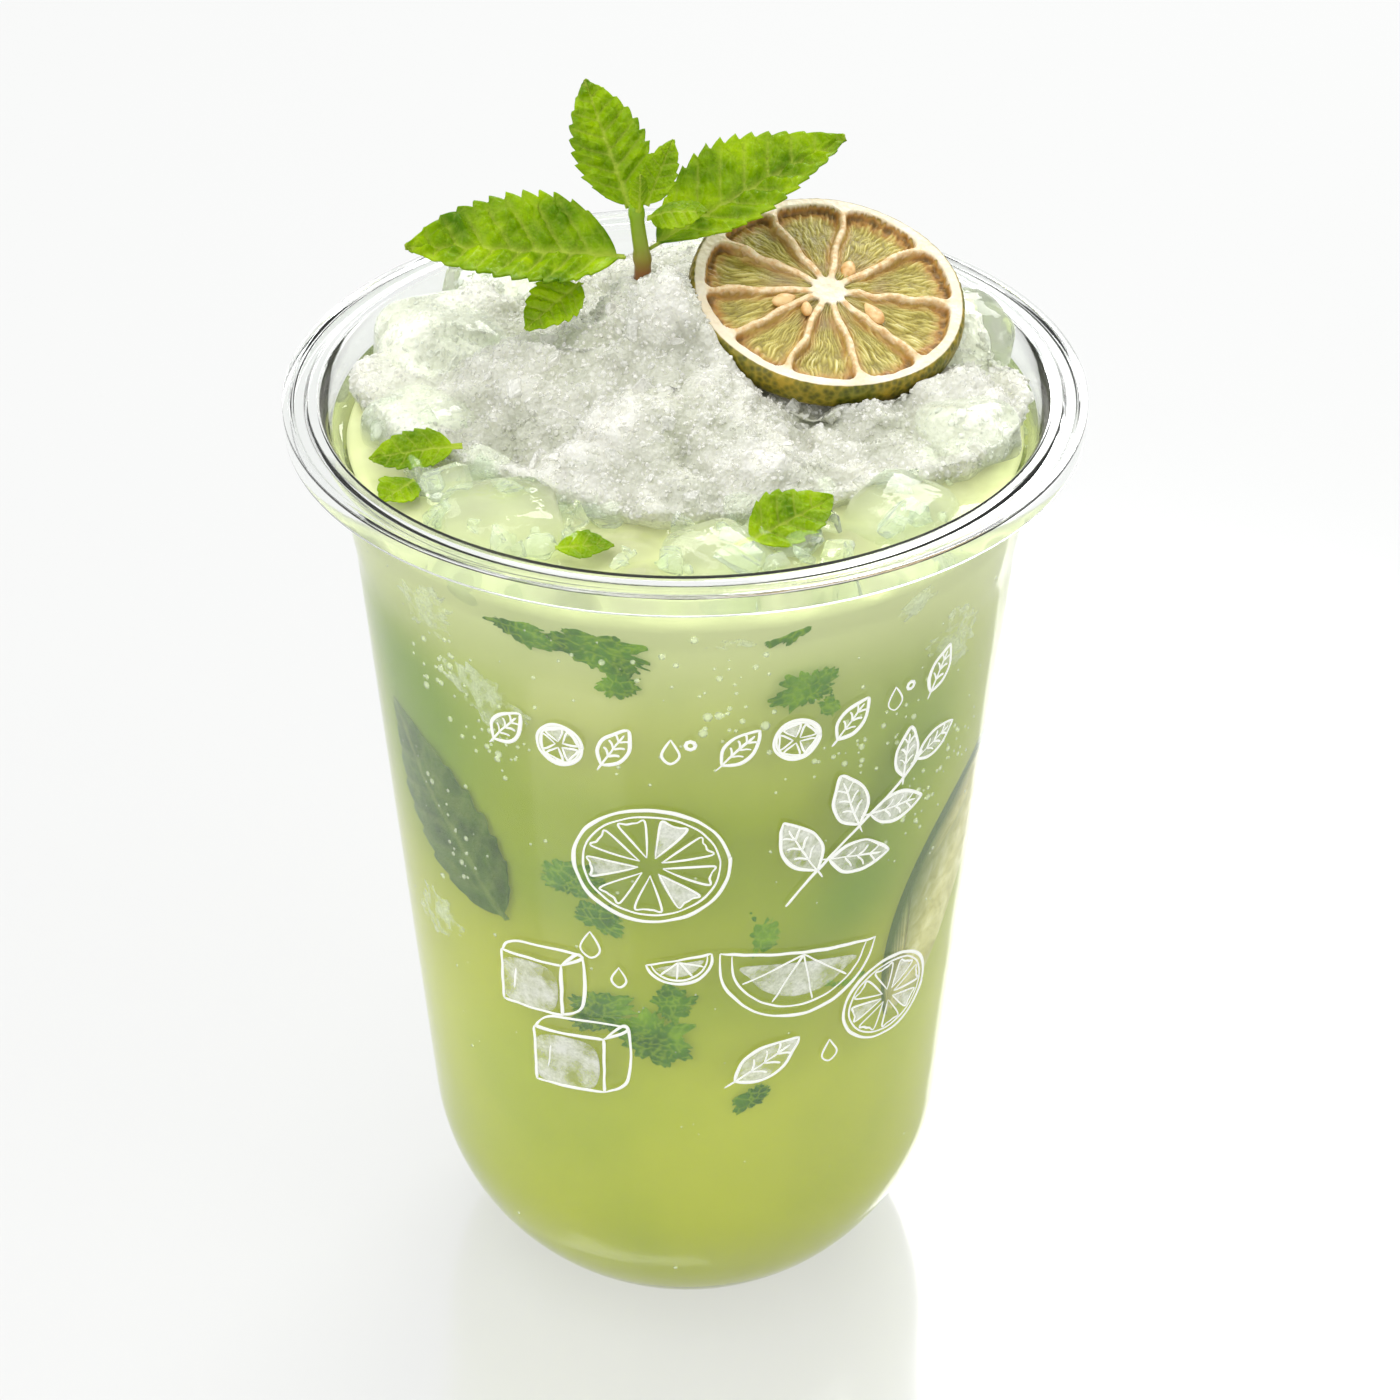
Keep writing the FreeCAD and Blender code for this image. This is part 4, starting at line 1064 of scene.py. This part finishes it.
def makeStem():
    bm = bmesh.new()
    made = bmesh.ops.create_circle(bm, cap_ends=True, segments=16, radius=stem["footRadius"] * 1.12)
    ring = made["verts"]
    bmesh.ops.translate(bm, verts=ring, vec=(0, 0, -1.2))
    for vertex in ring:
        # mint has a square stem with rounded corners
        corner = max(abs(vertex.co.x), abs(vertex.co.y)) / math.hypot(vertex.co.x, vertex.co.y)
        vertex.co.x *= 1.25 - 0.25 * corner
        vertex.co.y *= 1.25 - 0.25 * corner
    faces = list(bm.faces)
    steps, joints, swell = stem["steps"], stem["joints"], stem["jointSwell"]
    shrink = (stem["topRadius"] / stem["footRadius"]) ** (1 / steps)
    for step in range(steps):
        grown = bmesh.ops.extrude_face_region(bm, geom=faces)["geom"]
        bmesh.ops.delete(bm, geom=faces, context="FACES_ONLY")
        faces = [part for part in grown if isinstance(part, bmesh.types.BMFace)]
        verts = list({vertex for face in faces for vertex in face.verts})
        bend = stem["kink"] * math.sin(step / 4.0) * 0.25
        bmesh.ops.translate(bm, verts=verts, vec=(bend, -bend * 0.5, (stem["height"] + 1.0) / steps))
        middle = sum((vertex.co for vertex in verts), Vector()) / len(verts)
        factor = shrink * (swell if step in joints else 1 / swell if step - 2 in joints else 1.0)
        bmesh.ops.scale(bm, vec=(factor, factor, 1), space=Matrix.Translation(-middle), verts=verts)
    bmesh.ops.translate(bm, verts=bm.verts, vec=(stem["x"], stem["y"], stem["foot"]))
    # Mint stem: square, satin, purple-brown low down and green above.
    material, tree = newMaterial("mintStem")
    place = addNode(tree, "TexCoord").outputs["Object"]
    height = addNode(tree, "SeparateXYZ", {0: place})
    climbed = addNode(tree, "MapRange", {
        0: height.outputs["Z"], 1: stem["foot"] * millimetre, 2: (stem["foot"] + stem["height"]) * millimetre,
    })
    tone = addNode(tree, "ValToRGB", {0: climbed.outputs[0]}, stops=[
        (0.0, "#6A3B1C"), (0.45, "#8A5A26"), (0.68, "#8FA02C"), (1.0, "#8FB51E"),
    ])
    fibres = addNode(tree, "TexNoise", {"Vector": place, "Scale": perMillimetre(0.6)})
    ridges = addNode(tree, "Bump", {"Height": fibres.outputs[0], "Distance": 0.0002, "Strength": 0.5})
    body = addNode(tree, "BsdfPrincipled", {
        "Base Color": tone.outputs[0], "Roughness": 0.4, "Normal": ridges.outputs[0],
    })
    show(tree, body.outputs[0])
    finishPiece("mint_stem_square", bm, material, ["mint_stem"], sharp=60)


makeStem()

# Torn mint sunk just behind the wall.

scraps = {
    "thickness": 0.22,
    "squares": 34,
    "closest": 0.35,  # to the wall
    "mint": [  # bearing, height, width, tall, depth, turn
        (-118.5, 113.6, 9.5, 4.6, 1.5, -8), (-104, 112.6, 11.5, 5.6, 1.2, -22), (-101, 107.6, 5.4, 4.2, 1.7, 30),
        (-71.5, 115.2, 6.8, 3.6, 1.6, 35), (-68.5, 105.4, 7.2, 5.6, 1.3, 18), (-63.5, 101.8, 3.6, 2.6, 2.0, -40),
        (-112, 77.0, 8.6, 5.4, 1.8, 12), (-106.5, 71.5, 6.4, 4.6, 1.7, -28), (-107, 56.5, 8.4, 5.6, 1.1, 18),
        (-96, 53.6, 9.2, 7.2, 1.0, -24), (-92, 59.0, 5.2, 5.0, 1.6, 60), (-76.5, 42.4, 4.8, 2.8, 1.4, 38),
        (-75, 69.0, 7.4, 6.0, 2.2, 50), (-56, 58.0, 5.0, 4.2, 2.4, 15),
        (38, 96, 10.0, 6.4, 1.4, 10), (92, 72, 11.0, 7.0, 1.3, -25), (134, 108, 9.0, 5.0, 1.5, 15),
        (158, 50, 7.0, 5.0, 1.5, 40), (15, 55, 8.0, 5.5, 1.4, -30), (70, 112, 7.0, 4.0, 1.5, 5),
    ],
}


def behindWall(bearing, x, up, depth):
    # a place in the drink: x is measured round the wall from the bearing
    radius = wallRadius(up) - cup["wall"] - max(depth, scraps["closest"])
    return polar(radius, math.radians(bearing) + x / radius, up)


def tornScrap(bm, bearing, height, width, tall, depth, turn, dice):
    shift = Vector([dice.uniform(0, 50) for _ in range(3)])
    scrap = bmesh.new()
    bmesh.ops.create_grid(scrap, x_segments=scraps["squares"], y_segments=scraps["squares"], size=1)
    vein = scrap.verts.layers.float.new("vein")
    for vertex in scrap.verts:
        x, y = vertex.co.x, vertex.co.y
        x, y = x * math.sqrt(1 - y * y / 2), y * math.sqrt(1 - x * x / 2)
        reach, angle = math.hypot(x, y), math.atan2(y, x)
        rim = polar(1, angle, 0)
        torn = 1 + 0.42 * noise.noise(rim * 1.3 + shift) + 0.3 * noise.noise(rim * 3.6 + shift)
        torn += 0.26 * noise.noise(rim * 9 + shift)
        x, y = turned(x * torn * width / 2, y * torn * tall / 2, turn)
        cell = noise.voronoi(Vector((x, y, 0)) / 1.25 + shift)[0]
        bump = noise.noise(Vector((x, y, 0)) / 3.4 + shift) + 0.5 * min(cell[1] - cell[0], 0.6)
        vertex.co = behindWall(bearing, x, height + y, depth - bump * 0.8 + 0.5 * reach**2)
        vertex[vein] = 1 - min((cell[1] - cell[0]) / 0.16, 1)
    scrap.normal_update()
    bmesh.ops.solidify(scrap, geom=scrap.faces, thickness=scraps["thickness"])
    bm.from_mesh(meshOf(scrap))


def makeScraps():
    dice = random.Random(23)
    bm = bmesh.new()
    for spot in scraps["mint"]:
        tornScrap(bm, *spot, dice)
    # the sunk scraps get a painted glow, in place of light reaching them through the drink
    wet = mintMaterial("sunkMint", "#3E7000", "#5E9000", "#8CB400", "#A8C420", glow=0.55)
    finishPiece("sunk_mint_scraps", bm, wet, outward=False)


makeScraps()

# Lumps of crushed ice sunk against the wall: as the scraps, but white and see-through at their edges.

sunkIce = [  # bearing, height, width, tall, depth, turn
    (-139, 110, 11, 7, 1.4, 20), (-128, 101, 10, 6.5, 1.3, -15), (-84, 116, 12, 5, 1.6, 0), (-46, 116, 10, 6, 1.3, 30),
    (-36, 104, 9, 7, 1.5, -30), (-150, 60, 9, 7, 1.6, 15), (20, 108, 12, 7, 1.4, 0),
    (70, 92, 10, 8, 1.5, 25), (110, 112, 12, 6, 1.4, -10), (150, 84, 9, 7, 1.5, 30), (185, 112, 11, 6, 1.4, 0),
]


def makeSunkIce():
    dice = random.Random(31)
    bm = bmesh.new()
    for spot in sunkIce:
        tornScrap(bm, *spot, dice)
    # Crushed ice under the drink: its surface no longer shines, so it is only a milky grainy cloud, with a painted
    # glow.
    material, tree = newMaterial("drownedIce")
    spot = addNode(tree, "TexCoord").outputs["Object"]
    clump = addNode(tree, "TexNoise", {
        "Vector": spot, "Scale": perMillimetre(2.6), "Detail": 5.0, "Roughness": 0.65,
    })
    thick = addNode(tree, "MapRange", {0: clump.outputs[0], 1: 0.42, 2: 0.66, 4: 0.75})
    milk = addNode(tree, "BsdfPrincipled", {
        "Base Color": linear("#E4E8D4"), "Roughness": 0.5, "Specular IOR Level": 0.1,
        "Emission Color": linear("#DDE2C8"), "Emission Strength": 0.2,
    })
    clear = addNode(tree, "BsdfTransparent")
    both = addNode(tree, "MixShader", {0: thick.outputs[0], 1: clear.outputs[0], 2: milk.outputs[0]})
    show(tree, both.outputs[0])
    finishPiece("sunk_ice", bm, material, outward=False)


makeSunkIce()

# Whole dark leaves pressed against the wall: one at the left and two behind.

pressed = {
    "leaves": [  # bearing, height, length, width, depth, turn, teeth
        (-142, 79, 30.0, 15.5, 1.3, 128, 9), (48, 70, 26.0, 14.0, 1.4, 60, 8), (178, 88, 24.0, 13.0, 1.3, 100, 8),
    ],
    "squares": (96, 40),
    "stalk": 0.03,
    "veins": 7,
}


def makePressedLeaves():
    bm = bmesh.new()
    squares = pressed["squares"]
    for number, (bearing, height, length, width, depth, turn, teeth) in enumerate(pressed["leaves"]):
        leaf = bmesh.new()
        bmesh.ops.create_grid(leaf, x_segments=squares[0], y_segments=squares[1], size=0.5)
        vein = leaf.verts.layers.float.new("vein")
        for vertex in leaf.verts:
            share = vertex.co.x + 0.5
            half = halfWidth(share, width, pressed["stalk"], teeth)[0]
            x, y = (share - 0.5) * length, vertex.co.y * 2 * half
            phase = (share - 0.5 * abs(y) / length) * pressed["veins"]
            sideVein = math.exp(-((abs(phase - round(phase)) * 2.2) ** 2) * 8)
            midrib = math.exp(-((y / 0.5) ** 2))
            cell = noise.voronoi(Vector((x, y, number * 9)) / 1.5)[0]
            bump = 0.5 * min(cell[1] - cell[0], 0.6) - 0.3 * sideVein
            bump += 1.1 * noise.noise(Vector((x, y, number * 5)) / 8)
            x, y = turned(x, y, turn)
            vertex.co = behindWall(bearing, x, height + y, depth - 0.7 * bump)
            netted = 0.4 * sideVein + 0.7 * midrib + 0.3 * (1 - min((cell[1] - cell[0]) / 0.14, 1))
            vertex[vein] = min(netted, 1)
        leaf.normal_update()
        bmesh.ops.solidify(leaf, geom=leaf.faces, thickness=scraps["thickness"])
        bm.from_mesh(meshOf(leaf))
    # the pressed leaves get a faint painted glow, in place of light reaching them through the drink
    bruised = mintMaterial("bruisedMint", "#486C10", "#648A1C", "#86A038", "#A8BC60", glow=0.22)
    finishPiece("sunk_mint_leaves", bm, bruised, outward=False)


makePressedLeaves()

# Half a lime slice that leans on the wall at the right, its rind towards the front.

halfSlice = {
    "middle": (-4.4, 56.7),  # of the whole round: across the wall from its right-hand side, and up
    "radius": 26.0,
    "cut": 11.0,  # how far from the middle it was cut
    "thickness": 5.0,
    "turn": -32,
    "behindWall": 0.55,
    "sinksBelow": 62.0,  # under this height it leaves the wall
    "sinks": 0.12,
    "rind": 0.8,
    "rings": 7,
    "ringWidth": 1.05,
}


def makeHalfSlice():
    bm = bmesh.new()
    bmesh.ops.create_circle(bm, cap_ends=True, cap_tris=False, segments=96, radius=halfSlice["radius"])
    everything = list(bm.verts) + list(bm.edges) + list(bm.faces)
    bmesh.ops.bisect_plane(
        bm, geom=everything, plane_co=(-halfSlice["cut"], 0, 0), plane_no=(1, 0, 0), clear_outer=True
    )
    for _ in range(halfSlice["rings"]):
        inner = max(bm.faces, key=lambda face: face.calc_area())
        bmesh.ops.inset_region(bm, faces=[inner], thickness=halfSlice["ringWidth"], depth=0.0)
    grown = bmesh.ops.extrude_face_region(bm, geom=list(bm.faces))["geom"]
    lower = [part for part in grown if isinstance(part, bmesh.types.BMVert)]
    bmesh.ops.translate(bm, verts=lower, vec=(0, 0, -halfSlice["thickness"]))
    bmesh.ops.triangulate(bm, faces=[face for face in bm.faces if len(face.verts) > 4])
    bmesh.ops.subdivide_edges(bm, edges=[e for e in bm.edges if e.calc_length() > 1.2], cuts=2)
    rind = bm.verts.layers.float.new("rind")
    for vertex in bm.verts:
        reach = math.hypot(vertex.co.x, vertex.co.y)
        vertex[rind] = rampUp(reach - halfSlice["radius"] + halfSlice["rind"], 0, 0.4)
        x, y = turned(vertex.co.x, vertex.co.y, halfSlice["turn"])
        up = halfSlice["middle"][1] + y
        radius = wallRadius(up) - cup["wall"] - halfSlice["behindWall"] + vertex.co.z
        radius -= 0.25 * (1 + noise.noise(vertex.co / 2.4))
        radius -= halfSlice["sinks"] * max(halfSlice["sinksBelow"] - up, 0)
        vertex.co = polar(radius, (halfSlice["middle"][0] + x) / meanRadius, up)
    # Fresh lime, cut: wet pale flesh with a dark glossy rind, and a painted glow in its own colour.
    material, tree = newMaterial("cutLime")
    spot = addNode(tree, "TexCoord").outputs["Object"]
    pulp = addNode(tree, "TexNoise", {
        "Vector": spot, "Scale": perMillimetre(2.4), "Detail": 4.0, "Distortion": 0.6,
    })
    flesh = addNode(tree, "ValToRGB", {0: pulp.outputs[0]}, stops=[
        (0.3, "#C4BC62"), (0.5, "#DED68C"), (0.7, "#F4ECBC"),
    ])
    skin = addNode(tree, "Attribute", attribute_name="rind")
    whole = addNode(tree, "Mix", data_type="RGBA", inputs={
        0: skin.outputs["Fac"], 6: flesh.outputs[0], 7: linear("#4E6A00"),
    })
    body = addNode(tree, "BsdfPrincipled", {
        "Base Color": whole.outputs[2], "Roughness": 0.4, "Specular IOR Level": 0.2,
        "Emission Color": whole.outputs[2], "Emission Strength": 0.3,
    })
    show(tree, body.outputs[0])
    finishPiece("sunk_lime_half_slice", bm, material, sharp=60)


makeHalfSlice()

# Gas bubbles on the wall: a few clusters and a scatter over all of it.

bubbles = {
    "clusters": [  # bearing, height, spread round, spread up, how many, largest
        (-137, 102, 5.0, 5.0, 26, 0.75), (-123, 95, 5.5, 4.0, 30, 0.7), (-81, 103, 4.5, 3.5, 14, 1.0),
        (-55, 96, 9.0, 4.5, 34, 0.6), (-43, 83, 6.0, 7.0, 30, 0.6), (-32, 88, 5.0, 5.0, 22, 0.6),
        (-88, 110, 9.0, 5.0, 18, 0.8), (-139, 76, 5.0, 9.0, 22, 0.55), (-100, 98, 12.0, 4.0, 16, 0.6),
        (60, 95, 9.0, 7.0, 40, 0.7), (120, 80, 8.0, 8.0, 36, 0.7), (170, 100, 8.0, 6.0, 30, 0.7),
    ],
    "scattered": 240,
    "behindWall": (0.15, 0.5),
}


def makeBubbles():
    dice = random.Random(31)
    shape = bmesh.new()
    bmesh.ops.create_uvsphere(shape, u_segments=8, v_segments=5, radius=1.0)
    shape = meshOf(shape)
    bm = bmesh.new()

    def add(bearing, height, size):
        radius = wallRadius(height) - cup["wall"] - size - dice.uniform(*bubbles["behindWall"])
        spot = Matrix.Translation(polar(radius, math.radians(bearing), height))
        putShape(bm, shape, spot @ Matrix.Scale(size, 4))

    for bearing, height, around, tall, count, largest in bubbles["clusters"]:
        for _ in range(count):
            away = math.degrees(dice.gauss(0, around * 0.5) / meanRadius)
            up = height + dice.gauss(0, tall * 0.5)
            add(bearing + away, up, largest * (0.3 + 0.95 * dice.random() ** 2) / 2 + 0.08)
    for _ in range(bubbles["scattered"]):
        add(dice.uniform(-180, 180), 12 + 104 * dice.random() ** 0.7, 0.1 + 0.2 * dice.random() ** 3)
    # Gas in liquid: bright rings, because light bends away inside, mixed with a painted white highlight and glow.
    material, tree = newMaterial("gasBubble")
    gas = addNode(tree, "BsdfGlass", {"Color": linear("#FFFFFF"), "Roughness": 0.0, "IOR": 0.75})
    paintedShine = addNode(tree, "BsdfPrincipled", {
        "Base Color": linear("#F4F8E6"), "Roughness": 0.15,
        "Emission Color": linear("#EFF3DA"), "Emission Strength": 0.3,
    })
    both = addNode(tree, "MixShader", {0: 0.4, 1: gas.outputs[0], 2: paintedShine.outputs[0]})
    show(tree, letLampsThrough(tree, both.outputs[0], "#FFFFFF"))
    finishPiece("gas_bubbles", bm, material, outward=False)


makeBubbles()

# The print: white ink line drawings of limes, mint and ice round the front, with thin white washes.

ink = {
    "lift": 0.03,
    "thickness": 0.05,
    "line": 0.5,
    "fineLine": 0.3,
    "stride": 0.45,  # between the points of a line
    "rowStart": -21.5,  # the row of small drawings under the rim
    "rowStep": 6.9,
    "rowHeight": 98.3,
    "rowRise": 3.0,
}


def wrapped(x, height, lift):
    # a place on the cup's outside: x is measured round the wall from the middle of the front
    radius = wallRadius(height) + lift
    return polar(radius, math.radians(-90) + x / radius, height)


def curveThrough(points, share, closed):
    # a smooth line through the points, as a pen would draw it
    count = len(points)
    spans = count if closed else count - 1
    at = min(share * spans, spans - 1e-6)
    index = int(at)
    rest = at - index

    def take(step):
        number = index + step
        return points[number % count] if closed else points[min(max(number, 0), count - 1)]

    before, here, after, later = (Vector(take(step)) for step in (-1, 0, 1, 2))
    return 0.5 * (
        2 * here + (after - before) * rest + (2 * before - 5 * here + 4 * after - later) * rest**2
        + (3 * here - before - 3 * after + later) * rest**3
    )


def drawLine(bm, points, width, dice, closed=False):
    length = sum((Vector(b) - Vector(a)).length for a, b in zip(points, points[1:])) + 0.5
    steps = max(int(length / ink["stride"]), 6)
    stroke = bmesh.new()
    bmesh.ops.create_grid(stroke, x_segments=steps, y_segments=1, size=0.5)
    shift = dice.uniform(0, 90)
    for vertex in stroke.verts:
        share, across = vertex.co.x + 0.5, vertex.co.y * 2
        here = curveThrough(points, share, closed)
        ahead = curveThrough(points, min(share + 0.01, 1), closed)
        back = curveThrough(points, max(share - 0.01, 0), closed)
        heading = (ahead - back).normalized()
        press = 0.85 + 0.5 * noise.noise(Vector((share * length / 3.5, shift, 0)))
        taper = 1.0 if closed else min(1, 0.45 + 6 * min(share, 1 - share))
        drift = 0.12 * noise.noise(Vector((share * length / 2.0, shift, 4)))
        spot = here + Vector((-heading.y, heading.x)) * (across * width / 2 * press * taper + drift)
        vertex.co = wrapped(spot.x, spot.y, ink["lift"])
    finishInk(bm, stroke)


def finishInk(bm, drawn):
    bmesh.ops.remove_doubles(drawn, verts=drawn.verts, dist=1e-4)
    drawn.normal_update()
    for face in drawn.faces:
        middle = face.calc_center_median()
        if face.normal.dot(Vector((middle.x, middle.y, 0))) < 0:
            face.normal_flip()
    bmesh.ops.solidify(drawn, geom=drawn.faces, thickness=-ink["thickness"])
    bmesh.ops.reverse_faces(drawn, faces=drawn.faces)  # thickened outwards, so it came out inside out
    bm.from_mesh(meshOf(drawn))


def washShape(bm, points):
    middle = sum((Vector(p) for p in points), Vector((0, 0))) / len(points)
    drawn = bmesh.new()
    bmesh.ops.create_grid(drawn, x_segments=44, y_segments=6, size=0.5)
    for vertex in drawn.verts:
        rim = curveThrough(points, vertex.co.x + 0.5, True)
        spot = middle + (rim - middle) * (vertex.co.y + 0.5) * 0.97
        vertex.co = wrapped(spot.x, spot.y, ink["lift"] * 0.5)
    finishInk(bm, drawn)


def ring(x, y, width, tall, turn=0.0, count=12, start=0.0, sweep=360.0):
    points = []
    for step in range(count if sweep == 360.0 else count + 1):
        angle = math.radians(start + sweep * step / count)
        across, up = turned(width / 2 * math.cos(angle), tall / 2 * math.sin(angle), turn)
        points.append((x + across, y + up))
    return points


def leafLines(bm, wash, x, y, length, width, turn, dice, filled=False):
    def at(along, across):
        alongIt, acrossIt = turned(along * length, across * width, turn)
        return x + alongIt, y + acrossIt

    edge = [(0, 0), (0.25, 0.4), (0.55, 0.46), (0.85, 0.2), (1, 0)]
    upper, lower = ([at(along, side * across) for along, across in edge] for side in (1, -1))
    drawLine(bm, upper, ink["line"], dice)
    drawLine(bm, lower, ink["line"], dice)
    drawLine(bm, [at(-0.15, 0), at(0.4, 0.02), at(0.85, 0)], ink["fineLine"], dice)
    for along in (0.25, 0.45, 0.65):
        for side in (0.1, -0.1):
            vein = [at(along, 0), at(along + 0.1, 1.6 * side), at(along + 0.14, 3 * side)]
            drawLine(bm, vein, ink["fineLine"], dice)
    if filled:
        washShape(wash, upper[:-1] + lower[::-1][:-1])


def wheelLines(bm, wash, x, y, width, tall, turn, dice, segments=8):
    drawLine(bm, ring(x, y, width, tall, turn), ink["line"], dice, closed=True)
    drawLine(bm, ring(x, y, width * 0.88, tall * 0.88, turn), ink["fineLine"], dice, closed=True)
    for index in range(segments):
        first, last = index * 360 / segments + 5, (index + 1) * 360 / segments - 5
        tip = ring(x, y, width * 0.16, tall * 0.16, turn, 1, (first + last) / 2, 0.1)[0]
        arc = ring(x, y, width * 0.78, tall * 0.78, turn, 3, first + 2, last - first - 4)
        drawLine(bm, [tip] + arc + [tip], ink["fineLine"], dice)
        if index % 3 == 1:
            washShape(wash, [tip] + arc)


def cubeLines(bm, wash, x, y, across, dice):
    lean = 0.32 * across
    front = [(x, y), (x + across, y + 0.1 * across), (x + across, y + 1.05 * across), (x, y + 0.95 * across)]
    top = [front[3], (x + lean, y + 1.25 * across), (x + across + lean, y + 1.33 * across), front[2]]
    side = [front[2], top[2], (x + across + lean, y + 0.4 * across), front[1]]
    for first, last in zip(front, front[1:] + front[:1]):
        drawLine(bm, [first, last], ink["line"], dice)
    for line in (top, side):
        drawLine(bm, line, ink["line"] * 0.9, dice)
    washShape(wash, [(x + (u - x) * 0.8 + 0.5, y + (v - y) * 0.8 + 0.5) for u, v in front])
    glint = [(x + 0.2 * across, y + 0.3 * across), (x + 0.25 * across, y + 0.7 * across)]
    drawLine(bm, glint, ink["fineLine"], dice)


def wedgeLines(bm, wash, x, y, length, turn, dice):
    outer = ring(x, y, length, length * 0.95, turn, 8, 180, 180)
    drawLine(bm, outer, ink["line"], dice)
    drawLine(bm, [outer[0], outer[-1]], ink["line"], dice)
    drawLine(bm, ring(x, y, length * 0.86, length * 0.8, turn, 8, 182, 176), ink["fineLine"], dice)
    for angle in (216, 252, 288, 324):
        end = ring(x, y, length * 0.82, length * 0.76, turn, 1, angle, 0.1)[0]
        drawLine(bm, [(x, y - 0.3), end], ink["fineLine"], dice)
    washShape(wash, ring(x, y - length * 0.03, length * 0.7, length * 0.6, turn, 8, 190, 160))


def dropLines(bm, x, y, tall, dice):
    shape = [(x, y + tall), (x + 0.3 * tall, y + 0.35 * tall), (x, y), (x - 0.3 * tall, y + 0.35 * tall)]
    drawLine(bm, shape + [shape[0]], ink["fineLine"], dice)


def makePrint():
    dice = random.Random(41)
    lines, wash = bmesh.new(), bmesh.new()
    # a rising row of leaves, small wheels, drops and rings
    for number in range(9):
        x = ink["rowStart"] + ink["rowStep"] * number
        y = ink["rowHeight"] + ink["rowRise"] * (number / 8) ** 2
        if number % 2 == 0:
            leafLines(lines, wash, x - 1.9, y - 2.0, 6.4, 3.6, 52 + 8 * math.sin(number), dice)
        elif number % 4 == 1:
            wheelLines(lines, wash, x, y, 5.6, 5.6, 0, dice, segments=5)
        else:
            dropLines(lines, x - 0.8, y - 1.2, 3.4, dice)
            drawLine(lines, ring(x + 1.5, y + 1.4, 1.1, 1.1), ink["line"], dice, closed=True)
    wheelLines(lines, wash, -4.0, 82.0, 18.5, 17.0, 8, dice, segments=9)
    # a sprig where the wall turns to the right
    twig = [(12.0, 74.5), (16.0, 79.0), (21.0, 83.5), (27.5, 88.0), (31.0, 91.0)]
    drawLine(lines, twig, ink["line"], dice)
    for x, y, length, width, turn in (
        (16.0, 79.0, 9.5, 5.0, 118), (17.5, 80.2, 9.0, 4.8, -14), (21.5, 84.0, 9.0, 4.8, 108),
        (23.0, 85.0, 8.6, 4.4, -8), (28.0, 88.4, 7.4, 3.8, 84), (30.0, 90.2, 7.2, 3.6, 18),
    ):
        leafLines(lines, wash, x, y, length, width, turn, dice, filled=True)
    for x, y, across in ((-24.0, 55.0, 8.6), (-19.5, 43.5, 9.4)):
        cubeLines(lines, wash, x, y, across, dice)
    for x, y, tall in ((-11.5, 66.5, 4.2), (-8.0, 62.5, 3.2)):
        dropLines(lines, x, y, tall, dice)
    for x, y, length, turn in ((-0.8, 67.5, 8.0, 14), (14.5, 66.5, 21.0, -10)):
        wedgeLines(lines, wash, x, y, length, turn, dice)
    leafLines(lines, wash, 6.0, 47.0, 10.0, 5.2, 34, dice, filled=True)
    wheelLines(lines, wash, 27.5, 53.5, 14.5, 12.5, -16, dice, segments=8)
    dropLines(lines, 18.5, 47.0, 3.6, dice)
    # White screen ink, opaque and matt, with a faint painted glow.
    white, tree = newMaterial("whiteScreenInk")
    place = addNode(tree, "TexCoord").outputs["Object"]
    grain = addNode(tree, "TexNoise", {"Vector": place, "Scale": perMillimetre(0.5), "Detail": 2.0})
    pinholes = addNode(tree, "Bump", {"Height": grain.outputs[0], "Distance": 0.00003, "Strength": 0.5})
    body = addNode(tree, "BsdfPrincipled", {
        "Base Color": linear("#FBFCF4"), "Roughness": 0.55, "Normal": pinholes.outputs[0],
        "Emission Color": linear("#FFFFFF"), "Emission Strength": 0.12,
    })
    show(tree, body.outputs[0])
    finishPiece("printed_lines", lines, white, outward=False)
    # The same ink as a thin uneven wash that the drink shows through.
    thin, tree = newMaterial("whiteInkWash")
    place = addNode(tree, "TexCoord").outputs["Object"]
    brushed = addNode(tree, "TexNoise", {
        "Vector": place, "Scale": perMillimetre(4.0), "Detail": 5.0, "Roughness": 0.7,
    })
    cover = addNode(tree, "MapRange", {0: brushed.outputs[0], 1: 0.38, 2: 0.66, 3: 0.05, 4: 0.75})
    film = addNode(tree, "BsdfPrincipled", {"Base Color": linear("#FBFCF4"), "Roughness": 0.6})
    bare = addNode(tree, "BsdfTransparent")
    mixed = addNode(tree, "MixShader", {0: cover.outputs[0], 1: bare.outputs[0], 2: film.outputs[0]})
    show(tree, mixed.outputs[0])
    finishPiece("printed_wash", wash, thin, outward=False)


makePrint()
